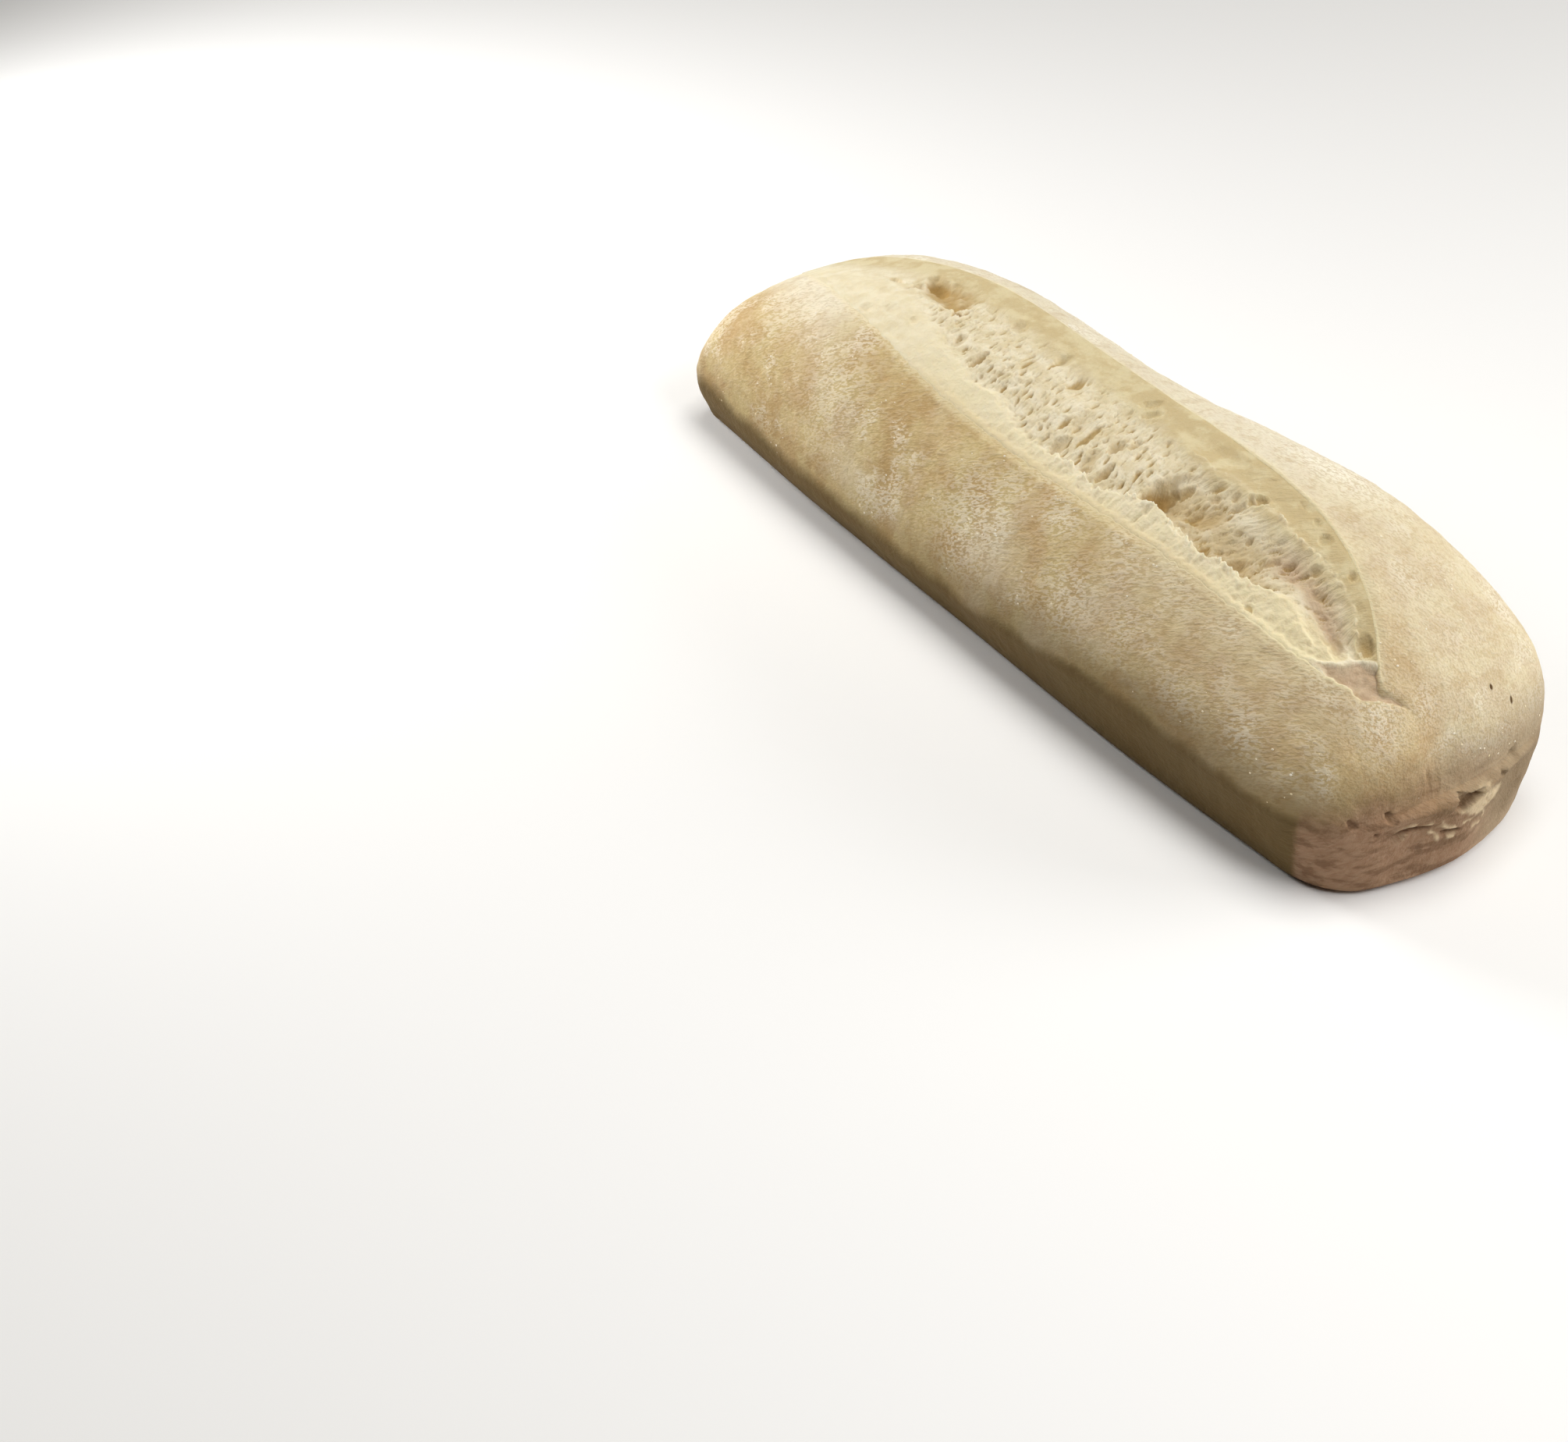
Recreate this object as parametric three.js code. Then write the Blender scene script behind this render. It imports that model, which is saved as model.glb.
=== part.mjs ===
// A slashed bread roll, baked in one piece: a long dome on a flat base, torn open along the top.
// Millimetres. +X runs along the roll to its cracked end, +Y points to the high side of the slash,
// +Z is up, and the origin is on the base under the middle of the roll.

import * as THREE from 'three';
import { mergeVertices } from 'three/addons/utils/BufferGeometryUtils.js';

const { MathUtils } = THREE;

// Driving dimensions.
const LENGTH = 200;
const HALF_WIDTH = 32;
const BASE_INSET = 5;             // how far the base stands in from the crease at each side

// Each end: its direction, the radius where the flanks turn into it, how far its face bulges, the
// height of its rim and how far the rim stands in from the tip, the two powers that shape the
// crest's fall to the rim, and how much the face draws in.
const NEAR_END = { side: 1, corner: 15, bulge: 4, rim: 18, rimInset: 3, blunt: 4, steep: 0.55, tuck: 0.22 };
const FAR_END = { side: -1, corner: 8, bulge: 3, rim: 20, rimInset: 3, blunt: 3, steep: 0.5, tuck: 0.2 };
const BULGE_START = 6;            // the power that keeps each bulge close to its end

// The form at five places along the roll. Fullness is the power of each flank's superellipse.
const BODY_STATIONS = [-90, -45, 0, 45, 90];
const CREST_HEIGHT = [44, 47, 45.5, 48, 48.5];
const CREASE_HEIGHT = [9.5, 8.5, 9.2, 14, 14.5];
const LEFT_WIDTH = [30.2, 31.8, 32.1, 32.5, 30.5];
const RIGHT_WIDTH = [30, 31.5, 31.5, 32, 30];
const LEFT_FULLNESS = [2.74, 2.38, 2.18, 2.05, 2.1];
const RIGHT_FULLNESS = [2.69, 2.68, 2.67, 2.9, 3.5];

// The slash: its two lips across the roll, and how far it has opened along its length.
const SLASH_STATIONS = [-88, -60, -30, 0, 30, 55, 78, 92];
const LEFT_LIP = [-7, -15, -20, -21, -21.5, -21.5, -19.5, -8];
const RIGHT_LIP = [5.5, 9.5, 11, 10, 6.5, 3, -6, -8];
const SLASH_OPENING = [0, 0.2, 0.28, 0.36, 0.9, 1, 0.4, 0];

// Depth below the dome, from the left lip (0) to the right lip (1): a strip of skin, a torn step,
// the crumb floor, a ridge, and the band that the blade cut.
const ACROSS_SLASH = [0, 0.13, 0.22, 0.34, 0.52, 0.7, 0.82, 1];
const SLASH_DEPTH = [0, 1, 5, 6.4, 5, 2.8, 1.3, 0];
const LEAST_BAND = 8;             // the slash's columns keep this width beyond its two tips
const LEAST_GAP = 0.5;            // the lips never come closer than this where depth is worked out

// How finely the surface is divided.
const BODY_ROWS = 58;
const CORNER_ROWS = 5;
const FACE_ROWS = 2;
const BASE_COLUMNS = 2;
const UNDERCUT_COLUMNS = 2;
const FLANK_COLUMNS = 8;
const SLASH_COLUMNS = 16;

const crust = new THREE.MeshStandardMaterial({
  name: 'floury_crust',
  color: 0xd3bf97,
  roughness: 0.85,
  metalness: 0,
});

// A smooth curve through values at increasing stations, held level past the first and the last.
function alongStations(place, stations, values) {
  const last = stations.length - 1;
  if (place <= stations[0]) return values[0];
  if (place >= stations[last]) return values[last];
  const i = stations.findIndex((station) => station > place) - 1;
  const slopeAt = (k) => {
    const before = Math.max(k - 1, 0);
    const after = Math.min(k + 1, last);
    return (values[after] - values[before]) / (stations[after] - stations[before]);
  };
  const step = stations[i + 1] - stations[i];
  const t = (place - stations[i]) / step;
  const rise = t * t * (3 - 2 * t);
  const leaving = t * (1 - t) * (1 - t) * step * slopeAt(i);
  const arriving = t * t * (t - 1) * step * slopeAt(i + 1);
  return MathUtils.lerp(values[i], values[i + 1], rise) + leaving + arriving;
}

// The sizes of one cross-section of the dome, before the slash is cut into it.
function sectionAt(x) {
  const end = x > 0 ? NEAR_END : FAR_END;
  const along = Math.min(Math.abs(x) / (LENGTH / 2 - end.rimInset), 1);
  const fall = (1 - along ** end.blunt) ** end.steep;
  return {
    top: MathUtils.lerp(end.rim, alongStations(x, BODY_STATIONS, CREST_HEIGHT), fall),
    crease: alongStations(x, BODY_STATIONS, CREASE_HEIGHT),
    left: {
      width: alongStations(x, BODY_STATIONS, LEFT_WIDTH),
      fullness: alongStations(x, BODY_STATIONS, LEFT_FULLNESS),
    },
    right: {
      width: alongStations(x, BODY_STATIONS, RIGHT_WIDTH),
      fullness: alongStations(x, BODY_STATIONS, RIGHT_FULLNESS),
    },
  };
}

// The dome's point at an angle: 0 at the right crease, a quarter turn at the crest, then left.
function domePoint(section, angle) {
  const out = Math.cos(angle);
  const flank = out < 0 ? section.left : section.right;
  const power = 2 / flank.fullness;
  const y = Math.sign(out) * flank.width * Math.abs(out) ** power;
  const z = section.crease + (section.top - section.crease) * Math.sin(angle) ** power;
  return new THREE.Vector2(y, z);
}

function domeAngle(section, y) {
  const flank = y < 0 ? section.left : section.right;
  const out = Math.min(Math.abs(y) / flank.width, 1);
  return Math.acos(Math.sign(y) * out ** (flank.fullness / 2));
}

function slashDepth(x, y, left, right) {
  const across = (y - left) / Math.max(right - left, LEAST_GAP);
  if (across <= 0 || across >= 1) return 0;
  const opening = alongStations(x, SLASH_STATIONS, SLASH_OPENING);
  return Math.max(alongStations(across, ACROSS_SLASH, SLASH_DEPTH) * opening, 0);
}

// The outline at x, from the middle of the base out to the right, over the top and back.
function outlineAt(x) {
  const section = sectionAt(x);
  const left = alongStations(x, SLASH_STATIONS, LEFT_LIP);
  const right = alongStations(x, SLASH_STATIONS, RIGHT_LIP);
  const middle = (left + right) / 2;
  const halfBand = Math.max(right - left, LEAST_BAND) / 2;
  const rightAngle = domeAngle(section, middle + halfBand);
  const leftAngle = domeAngle(section, middle - halfBand);
  const rightBase = new THREE.Vector2(section.right.width - BASE_INSET, 0);
  const leftBase = new THREE.Vector2(BASE_INSET - section.left.width, 0);
  const baseMiddle = new THREE.Vector2(0, 0);
  const points = [];
  const addStretch = (columns, pointAt) => {
    for (let i = 0; i < columns; i += 1) {
      points.push(pointAt(i / columns));
    }
  };

  addStretch(BASE_COLUMNS, (t) => baseMiddle.clone().lerp(rightBase, t));
  addStretch(UNDERCUT_COLUMNS, (t) => rightBase.clone().lerp(domePoint(section, 0), t));
  addStretch(FLANK_COLUMNS, (t) => domePoint(section, rightAngle * t));
  addStretch(SLASH_COLUMNS, (t) => {
    const y = middle + MathUtils.lerp(halfBand, -halfBand, t);
    const point = domePoint(section, domeAngle(section, y));
    point.y -= slashDepth(x, y, left, right);
    return point;
  });
  addStretch(FLANK_COLUMNS, (t) => domePoint(section, MathUtils.lerp(leftAngle, Math.PI, t)));
  addStretch(UNDERCUT_COLUMNS, (t) => domePoint(section, Math.PI).lerp(leftBase, t));
  addStretch(BASE_COLUMNS, (t) => leftBase.clone().lerp(baseMiddle, t));
  points.push(baseMiddle);
  return points;
}

// A row of points round the roll at x. Near an end its sides are drawn back, so the face bulges,
// and past the start of the corner they also turn in towards the face.
function rowAt(x) {
  const end = x > 0 ? NEAR_END : FAR_END;
  const pastStart = Math.abs(x) - (LENGTH / 2 - end.corner);
  const turned = 1 - Math.sqrt(1 - MathUtils.clamp(pastStart / end.corner, 0, 1) ** 2);
  const narrowed = 1 - (end.corner / HALF_WIDTH) * turned;
  const middleHeight = end.rim / 2;
  const drawnBack = end.side * end.bulge * (Math.abs(x) / (LENGTH / 2)) ** BULGE_START;
  return outlineAt(x).map((point) => new THREE.Vector3(
    x - drawnBack * Math.min(Math.abs(point.x) / HALF_WIDTH, 1) ** 2,
    point.x * narrowed,
    middleHeight + (point.y - middleHeight) * (1 - end.tuck * turned),
  ));
}

// The rows that close an end, from the start of its corner to the middle of its face.
function endRows(end) {
  const rows = [];
  for (let i = 1; i <= CORNER_ROWS; i += 1) {
    const angle = (Math.PI / 2) * (i / CORNER_ROWS);
    rows.push(rowAt(end.side * (LENGTH / 2 - end.corner * (1 - Math.sin(angle)))));
  }
  const edge = rows[rows.length - 1];
  const middle = new THREE.Vector3(end.side * (LENGTH / 2), 0, end.rim / 2);
  for (let i = 1; i <= FACE_ROWS; i += 1) {
    rows.push(edge.map((point) => point.clone().lerp(middle, i / FACE_ROWS)));
  }
  return rows;
}

function allRows() {
  const start = LENGTH / 2 - NEAR_END.corner;
  const finish = FAR_END.corner - LENGTH / 2;
  const body = [];
  for (let i = 0; i <= BODY_ROWS; i += 1) {
    body.push(rowAt(MathUtils.lerp(start, finish, i / BODY_ROWS)));
  }
  return [...endRows(NEAR_END).reverse(), ...body, ...endRows(FAR_END)];
}

// A sphere's grid, laid over the rows: its poles become the middles of the two end faces.
function rollGeometry() {
  const rows = allRows();
  const columns = rows[0].length - 1;
  const geometry = new THREE.SphereGeometry(1, columns, rows.length - 1);
  const position = geometry.getAttribute('position');
  rows.flat().forEach((point, index) => {
    position.setXYZ(index, point.x, point.y, point.z);
  });
  geometry.deleteAttribute('normal');
  geometry.deleteAttribute('uv');
  const closed = mergeVertices(geometry);
  closed.computeVertexNormals();
  return closed;
}

const roll = new THREE.Mesh(rollGeometry(), crust);
roll.name = 'bread_roll';

const model = new THREE.Group();
model.name = 'bread_roll_model';
model.add(roll);

export default model;
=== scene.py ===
"""The finish of a slashed white bread roll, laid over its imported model.

The roll is one piece of baked dough. Its crust is a lofted skin with a floury, mottled surface, and
the slash along its top shows torn crumb with stretched cells, a strip of pale skin, and the smooth
band that the blade cut. Sizes inside the classes are millimetres; meshes are metres.
"""

import logging
import math
from dataclasses import dataclass, field
from enum import Enum
from functools import partial
from typing import Callable

import bpy
import numpy as np
from mathutils import Matrix, Vector


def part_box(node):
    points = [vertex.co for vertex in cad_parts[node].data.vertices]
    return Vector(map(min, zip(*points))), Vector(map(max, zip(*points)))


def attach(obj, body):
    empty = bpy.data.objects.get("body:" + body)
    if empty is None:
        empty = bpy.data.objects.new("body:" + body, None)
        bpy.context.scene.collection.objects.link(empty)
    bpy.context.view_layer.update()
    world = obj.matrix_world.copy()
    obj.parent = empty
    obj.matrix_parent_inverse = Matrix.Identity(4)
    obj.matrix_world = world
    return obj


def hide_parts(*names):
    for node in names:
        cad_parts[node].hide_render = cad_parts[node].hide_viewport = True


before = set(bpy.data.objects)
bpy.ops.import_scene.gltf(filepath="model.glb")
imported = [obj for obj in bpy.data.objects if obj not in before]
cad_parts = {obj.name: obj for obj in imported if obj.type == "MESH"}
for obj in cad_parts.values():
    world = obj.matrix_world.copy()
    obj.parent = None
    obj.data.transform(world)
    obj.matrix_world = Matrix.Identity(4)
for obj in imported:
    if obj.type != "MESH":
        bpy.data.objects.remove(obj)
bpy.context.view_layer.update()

NODE = "bread_roll"
BODY = "root"
MM = 0.001

log = logging.getLogger("bread_roll")
Wire = Callable[..., bpy.types.NodeSocket]


# Small numeric helpers


def ease(low: float, high: float, value: np.ndarray) -> np.ndarray:
    """Rises smoothly from 0 to 1 between two values.

    Args:
        low: where the rise starts.
        high: where it ends; below low, the rise becomes a fall.
        value: the values to weigh.

    Returns:
        Weights from 0 to 1, shaped like value.
    """
    t = np.clip((value - low) / (high - low), 0.0, 1.0)
    return t * t * (3 - 2 * t)


def bell(offset: np.ndarray, width: float) -> np.ndarray:
    """Gives a hump of height 1 at offset 0 that dies away over a width."""
    return np.exp(-((offset / width) ** 2))


def along_stations(place: np.ndarray, stations: tuple, values: tuple) -> np.ndarray:
    """Runs a smooth curve through values at increasing stations, level past both ends.

    Args:
        place: where to read the curve.
        stations: the places of the values.
        values: the curve's value at each station.

    Returns:
        The curve's values, shaped like place.
    """
    at = np.asarray(stations, float)
    value = np.asarray(values, float)
    place = np.clip(place, at[0], at[-1])
    before = np.maximum(np.arange(len(at)) - 1, 0)
    after = np.minimum(np.arange(len(at)) + 1, len(at) - 1)
    slope = (value[after] - value[before]) / (at[after] - at[before])
    i = np.clip(np.searchsorted(at, place, side="right") - 1, 0, len(at) - 2)
    step = at[i + 1] - at[i]
    t = (place - at[i]) / step
    rise = t * t * (3 - 2 * t)
    bend = t * (1 - t) ** 2 * slope[i] + t * t * (t - 1) * slope[i + 1]
    return value[i] * (1 - rise) + value[i + 1] * rise + bend * step


def lattice_value(cell: np.ndarray, seed: int) -> np.ndarray:
    """Gives each whole-number cell its own fixed random value.

    Args:
        cell: integer coordinates, with the axes last.
        seed: a number that changes every value.

    Returns:
        Values from 0 to 1, one for each cell.
    """
    primes = (374761393, 668265263, 2246822519)
    mixed = np.full(cell.shape[:-1], seed * 3266489917 & 0xFFFFFFFF, np.uint64)
    for axis in range(cell.shape[-1]):
        mixed = (mixed + cell[..., axis].astype(np.int64).astype(np.uint64) * primes[axis]) & 0xFFFFFFFF
        mixed = ((mixed ^ (mixed >> np.uint64(15))) * np.uint64(2246822519)) & 0xFFFFFFFF
    mixed = ((mixed ^ (mixed >> np.uint64(13))) * np.uint64(3266489917)) & 0xFFFFFFFF
    return ((mixed >> np.uint64(8)) & np.uint64(0xFFFF)).astype(float) / 65535.0


def value_noise(points: np.ndarray, seed: int, octaves: int = 3) -> np.ndarray:
    """Makes soft noise of one lump for each unit of length, with finer lumps on top.

    Args:
        points: coordinates in lump sizes, with the axes last.
        seed: a number that changes the pattern.
        octaves: how many sizes of lump are added up.

    Returns:
        Noise from about -1 to 1.
    """
    total = np.zeros(points.shape[:-1])
    weight = 1.0
    for octave in range(octaves):
        scaled = points * 2.0**octave + 17.3 * octave
        cell = np.floor(scaled).astype(np.int64)
        t = scaled - cell
        t = t * t * (3 - 2 * t)
        axes = points.shape[-1]
        value = np.zeros(points.shape[:-1])
        for corner in np.ndindex(*([2] * axes)):
            share = np.ones(points.shape[:-1])
            for axis, bit in enumerate(corner):
                share = share * (t[..., axis] if bit else 1 - t[..., axis])
            value += share * lattice_value(cell + np.array(corner), seed + 101 * octave)
        total += weight * (2 * value - 1)
        weight *= 0.5
    return total


def distance_to_trail(u: np.ndarray, v: np.ndarray, trail: tuple) -> np.ndarray:
    """Measures how far points lie from a line through several places.

    Args:
        u: the points' first coordinate.
        v: their second coordinate.
        trail: the line's corners, as pairs.

    Returns:
        Distances, shaped like u.
    """
    nearest = np.full(np.shape(u), 1e9)
    for (u0, v0), (u1, v1) in zip(trail, trail[1:]):
        du, dv = u1 - u0, v1 - v0
        t = np.clip(((u - u0) * du + (v - v0) * dv) / (du * du + dv * dv), 0, 1)
        nearest = np.minimum(nearest, np.hypot(u - u0 - t * du, v - v0 - t * dv))
    return nearest


def linear(hex_colour: str) -> tuple[float, float, float, float]:
    """Turns an sRGB hex colour into linear RGBA.

    Args:
        hex_colour: the colour, as #rrggbb.

    Returns:
        Red, green, blue and alpha.
    """
    parts = [int(hex_colour[i : i + 2], 16) / 255 for i in (1, 3, 5)]
    rgb = [c / 12.92 if c <= 0.04045 else ((c + 0.055) / 1.055) ** 2.4 for c in parts]
    return (*rgb, 1.0)


# The form of the dough


@dataclass(frozen=True)
class EndShape:
    """How one end of the dough closes: its corner, bulging face, rim and the fall of its crest."""

    side: int
    corner: float
    bulge: float
    rim: float
    blunt: float
    steep: float
    tuck: float
    rim_inset: float = 3.0


class End(Enum):
    """The two ends of the roll."""

    NEAR = EndShape(side=1, corner=15, bulge=4, rim=18, blunt=4, steep=0.55, tuck=0.22)
    FAR = EndShape(side=-1, corner=8, bulge=3, rim=20, blunt=3, steep=0.5, tuck=0.2)


@dataclass(frozen=True)
class DoughForm:
    """The shape of the whole roll, read from the frame's box and a few stations along it."""

    length: float
    half_width: float = 32.0
    base_inset: float = 5.0
    bulge_power: int = 6
    least_band: float = 4.4
    stations: tuple = (-90, -45, 0, 45, 90)
    crest: tuple = (44, 47, 45.5, 48, 48.5)
    crease: tuple = (9.5, 8.5, 9.2, 14, 14.5)
    left_width: tuple = (30.2, 31.8, 32.1, 32.5, 30.5)
    right_width: tuple = (30, 31.5, 31.5, 32, 30)
    left_fullness: tuple = (2.74, 2.38, 2.18, 2.05, 2.1)
    right_fullness: tuple = (2.69, 2.68, 2.67, 2.9, 3.5)
    slash_stations: tuple = (-88, -60, -30, 0, 30, 55, 70, 78, 83, 86, 88.5, 91)
    left_lip: tuple = (-7, -15, -20, -21, -21.5, -21.5, -20.6, -19, -17.3, -15.6, -11.6, -8.6)
    right_lip: tuple = (5.5, 9.5, 11, 10, 6.5, 3, -2.2, -6.4, -10, -11.4, -9.4, -8.4)
    trough_stations: tuple = (-88, -60, -30, 0, 24, 34, 55, 70, 82, 91)
    trough: tuple = (0.6, 4.6, 5.6, 6.8, 8, 10.4, 10.2, 7, 4.8, 3)

    def top(self, x: np.ndarray) -> np.ndarray:
        """Gives the height of the crest at x.

        Args:
            x: places along the roll.

        Returns:
            Heights, shaped like x.
        """
        near = x > 0
        crest = along_stations(x, self.stations, self.crest)
        height = np.zeros_like(x)
        for end, here in ((End.NEAR.value, near), (End.FAR.value, ~near)):
            along = np.clip(np.abs(x) / (self.length / 2 - end.rim_inset), 0, 1)
            fall = (1 - along**end.blunt) ** end.steep
            height = np.where(here, end.rim + (crest - end.rim) * fall, height)
        return height

    def flank(self, x: np.ndarray, y: np.ndarray) -> tuple[np.ndarray, np.ndarray]:
        """Gives the width and the fullness of the flank that y lies on.

        Args:
            x: places along the roll.
            y: places across it, whose sign chooses the flank.

        Returns:
            The width and the fullness, which is the power that rounds the flank.
        """
        tables = ((self.left_width, self.right_width), (self.left_fullness, self.right_fullness))
        width, fullness = (
            np.where(y < 0, along_stations(x, self.stations, left), along_stations(x, self.stations, right))
            for left, right in tables
        )
        return width, fullness

    def crease_height(self, x: np.ndarray) -> np.ndarray:
        """Gives the height at x of the crease where the dome meets the undercut side."""
        return along_stations(x, self.stations, self.crease)

    def dome(self, x: np.ndarray, y: np.ndarray) -> np.ndarray:
        """Gives the height of the unslashed dome over a point of the plan.

        Args:
            x: places along the roll.
            y: places across it.

        Returns:
            Heights in millimetres.
        """
        width, fullness = self.flank(x, y)
        out = np.clip(np.abs(y) / width, 0, 1)
        crease = self.crease_height(x)
        return crease + (self.top(x) - crease) * (1 - out**fullness) ** (1 / fullness)

    def angle(self, x: np.ndarray, y: np.ndarray) -> np.ndarray:
        """Gives the dome's angle at y: 0 at the right crease and half a turn at the left one.

        Args:
            x: places along the roll.
            y: places across it.

        Returns:
            Angles in radians.
        """
        width, fullness = self.flank(x, y)
        out = np.clip(np.abs(y) / width, 0, 1)
        return np.arccos(np.sign(y) * out ** (fullness / 2))

    def across_at(self, x: np.ndarray, angle: np.ndarray) -> np.ndarray:
        """Gives y for an angle round the dome.

        Args:
            x: places along the roll.
            angle: angles in radians, as angle gives them.

        Returns:
            Places across the roll.
        """
        out = np.cos(angle)
        width, fullness = self.flank(x, out)
        return np.sign(out) * width * np.abs(out) ** (2 / fullness)

    def lips(self, x: np.ndarray) -> tuple[np.ndarray, np.ndarray]:
        """Gives y of the slash's left and right lip at x.

        Args:
            x: places along the roll.

        Returns:
            The left and the right lip, a little ragged.
        """
        left = along_stations(x, self.slash_stations, self.left_lip)
        right = along_stations(x, self.slash_stations, self.right_lip)
        ragged = value_noise(np.stack((x / 1.3, 0 * x + 0.5), axis=-1), 51, 3)
        soft = value_noise(np.stack((x / 6, 0 * x + 0.5), axis=-1), 52, 2)
        gap = ease(0, 4, right - left)
        torn = 0.22 + 0.2 * ease(76, 82, x)
        return left + torn * ragged * gap, right + 0.18 * soft * gap

    def place(self, x: np.ndarray, y: np.ndarray, z: np.ndarray) -> np.ndarray:
        """Moves section points to where the rounded ends carry them.

        Args:
            x: how far along the roll the section is.
            y: the section's points, across the roll.
            z: their heights.

        Returns:
            The points, with x, y and z last.
        """
        x, y, z = np.broadcast_arrays(x, y, z)
        placed = np.zeros((*x.shape, 3))
        for end, here in ((End.NEAR.value, x > 0), (End.FAR.value, x <= 0)):
            past = np.clip((np.abs(x) - (self.length / 2 - end.corner)) / end.corner, 0, 1)
            turned = 1 - np.sqrt(1 - past**2)
            drawn_back = end.side * end.bulge * (np.abs(x) / (self.length / 2)) ** self.bulge_power
            middle = end.rim / 2
            moved = np.stack(
                (
                    x - drawn_back * np.minimum(np.abs(y) / self.half_width, 1) ** 2,
                    y * (1 - end.corner / self.half_width * turned),
                    middle + (z - middle) * (1 - end.tuck * turned),
                ),
                axis=-1,
            )
            placed = np.where(here[..., None], moved, placed)
        return placed

    def trough_depth(self, x: np.ndarray, y: np.ndarray, lip_width: float) -> np.ndarray:
        """Gives the depth below the dome of the plain trough that holds the torn crumb.

        Args:
            x: places along the roll.
            y: places across the roll.
            lip_width: how far inside the lips the trough reaches its full depth.

        Returns:
            Depths in millimetres, 0 outside the lips.
        """
        left, right = self.lips(x)
        inside = np.minimum(y - left, right - y)
        full = ease(0.35, lip_width, inside) * ease(-88, -80, x) * ease(91, 88.5, x)
        return full * along_stations(x, self.trough_stations, self.trough)


# Mesh, node tree and Geometry Nodes helpers


def closed_loft(name: str, rows: np.ndarray, start: np.ndarray, finish: np.ndarray) -> bpy.types.Object:
    """Skins closed rows of points into one closed mesh with a point at each end.

    Args:
        name: the name of the new object.
        rows: points in millimetres, shaped (rows, columns, 3).
        start: the point that closes the first row.
        finish: the point that closes the last row.

    Returns:
        The object, linked to the scene, with its faces outwards.
    """
    count, columns, _ = rows.shape
    points = np.concatenate((rows.reshape(-1, 3), start[None], finish[None])) * MM
    ring = np.arange(columns)
    following = (ring + 1) % columns
    offset = (np.arange(count - 1) * columns)[:, None]
    quads = np.stack(
        (offset + ring, offset + following, offset + columns + following, offset + columns + ring), axis=-1
    ).reshape(-1, 4)
    last = (count - 1) * columns
    caps = [np.stack((following, ring, np.full(columns, count * columns)), axis=-1)]
    caps.append(np.stack((last + ring, last + following, np.full(columns, count * columns + 1)), axis=-1))
    a, b, c = points[quads[:, 0]], points[quads[:, 1]], points[quads[:, 2]]
    volume = np.einsum("ij,ij->i", a, np.cross(b, c)).sum()
    triangles = np.concatenate(caps)
    if volume < 0:
        quads = quads[:, ::-1]
        triangles = triangles[:, ::-1]
    mesh = bpy.data.meshes.new(name)
    mesh.from_pydata(points.tolist(), [], quads.tolist() + triangles.tolist())
    mesh.polygons.foreach_set("use_smooth", np.ones(len(mesh.polygons), bool))
    mesh.update()
    piece = bpy.data.objects.new(name, mesh)
    bpy.context.scene.collection.objects.link(piece)
    return piece


def vertex_places(piece: bpy.types.Object) -> np.ndarray:
    """Reads a mesh's vertices, in millimetres.

    Args:
        piece: the mesh object.

    Returns:
        Places, shaped (vertices, 3).
    """
    flat = np.zeros(len(piece.data.vertices) * 3, np.float32)
    piece.data.vertices.foreach_get("co", flat)
    return flat.reshape(-1, 3).astype(float) / MM


def vertex_normals(piece: bpy.types.Object) -> np.ndarray:
    """Reads a mesh's vertex normals.

    Args:
        piece: the mesh object.

    Returns:
        Unit vectors, shaped (vertices, 3).
    """
    flat = np.zeros(len(piece.data.vertices) * 3, np.float32)
    piece.data.vertex_normals.foreach_get("vector", flat)
    return flat.reshape(-1, 3).astype(float)


def move_vertices(piece: bpy.types.Object, places: np.ndarray) -> None:
    """Moves a mesh's vertices to places in millimetres."""
    piece.data.vertices.foreach_set("co", (places * MM).astype(np.float32).ravel())
    piece.data.update()


def mark(piece: bpy.types.Object, name: str, values: np.ndarray) -> None:
    """Stores a number or a vector for each vertex.

    Args:
        piece: the mesh object.
        name: the attribute's name.
        values: one number for each vertex, or three for a vector.
    """
    kind, key = ("FLOAT_VECTOR", "vector") if values.ndim == 2 else ("FLOAT", "value")
    attribute = piece.data.attributes.new(name, kind, "POINT")
    attribute.data.foreach_set(key, values.astype(np.float32).ravel())


@dataclass(frozen=True)
class Recipe:
    """How to add a kind of node: its type, the sockets for its values in turn, and the output it gives."""

    type: str
    sockets: tuple = (0, 1, 2)
    gives: int | str = 0
    settings: dict[str, str] = field(default_factory=dict)


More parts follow.
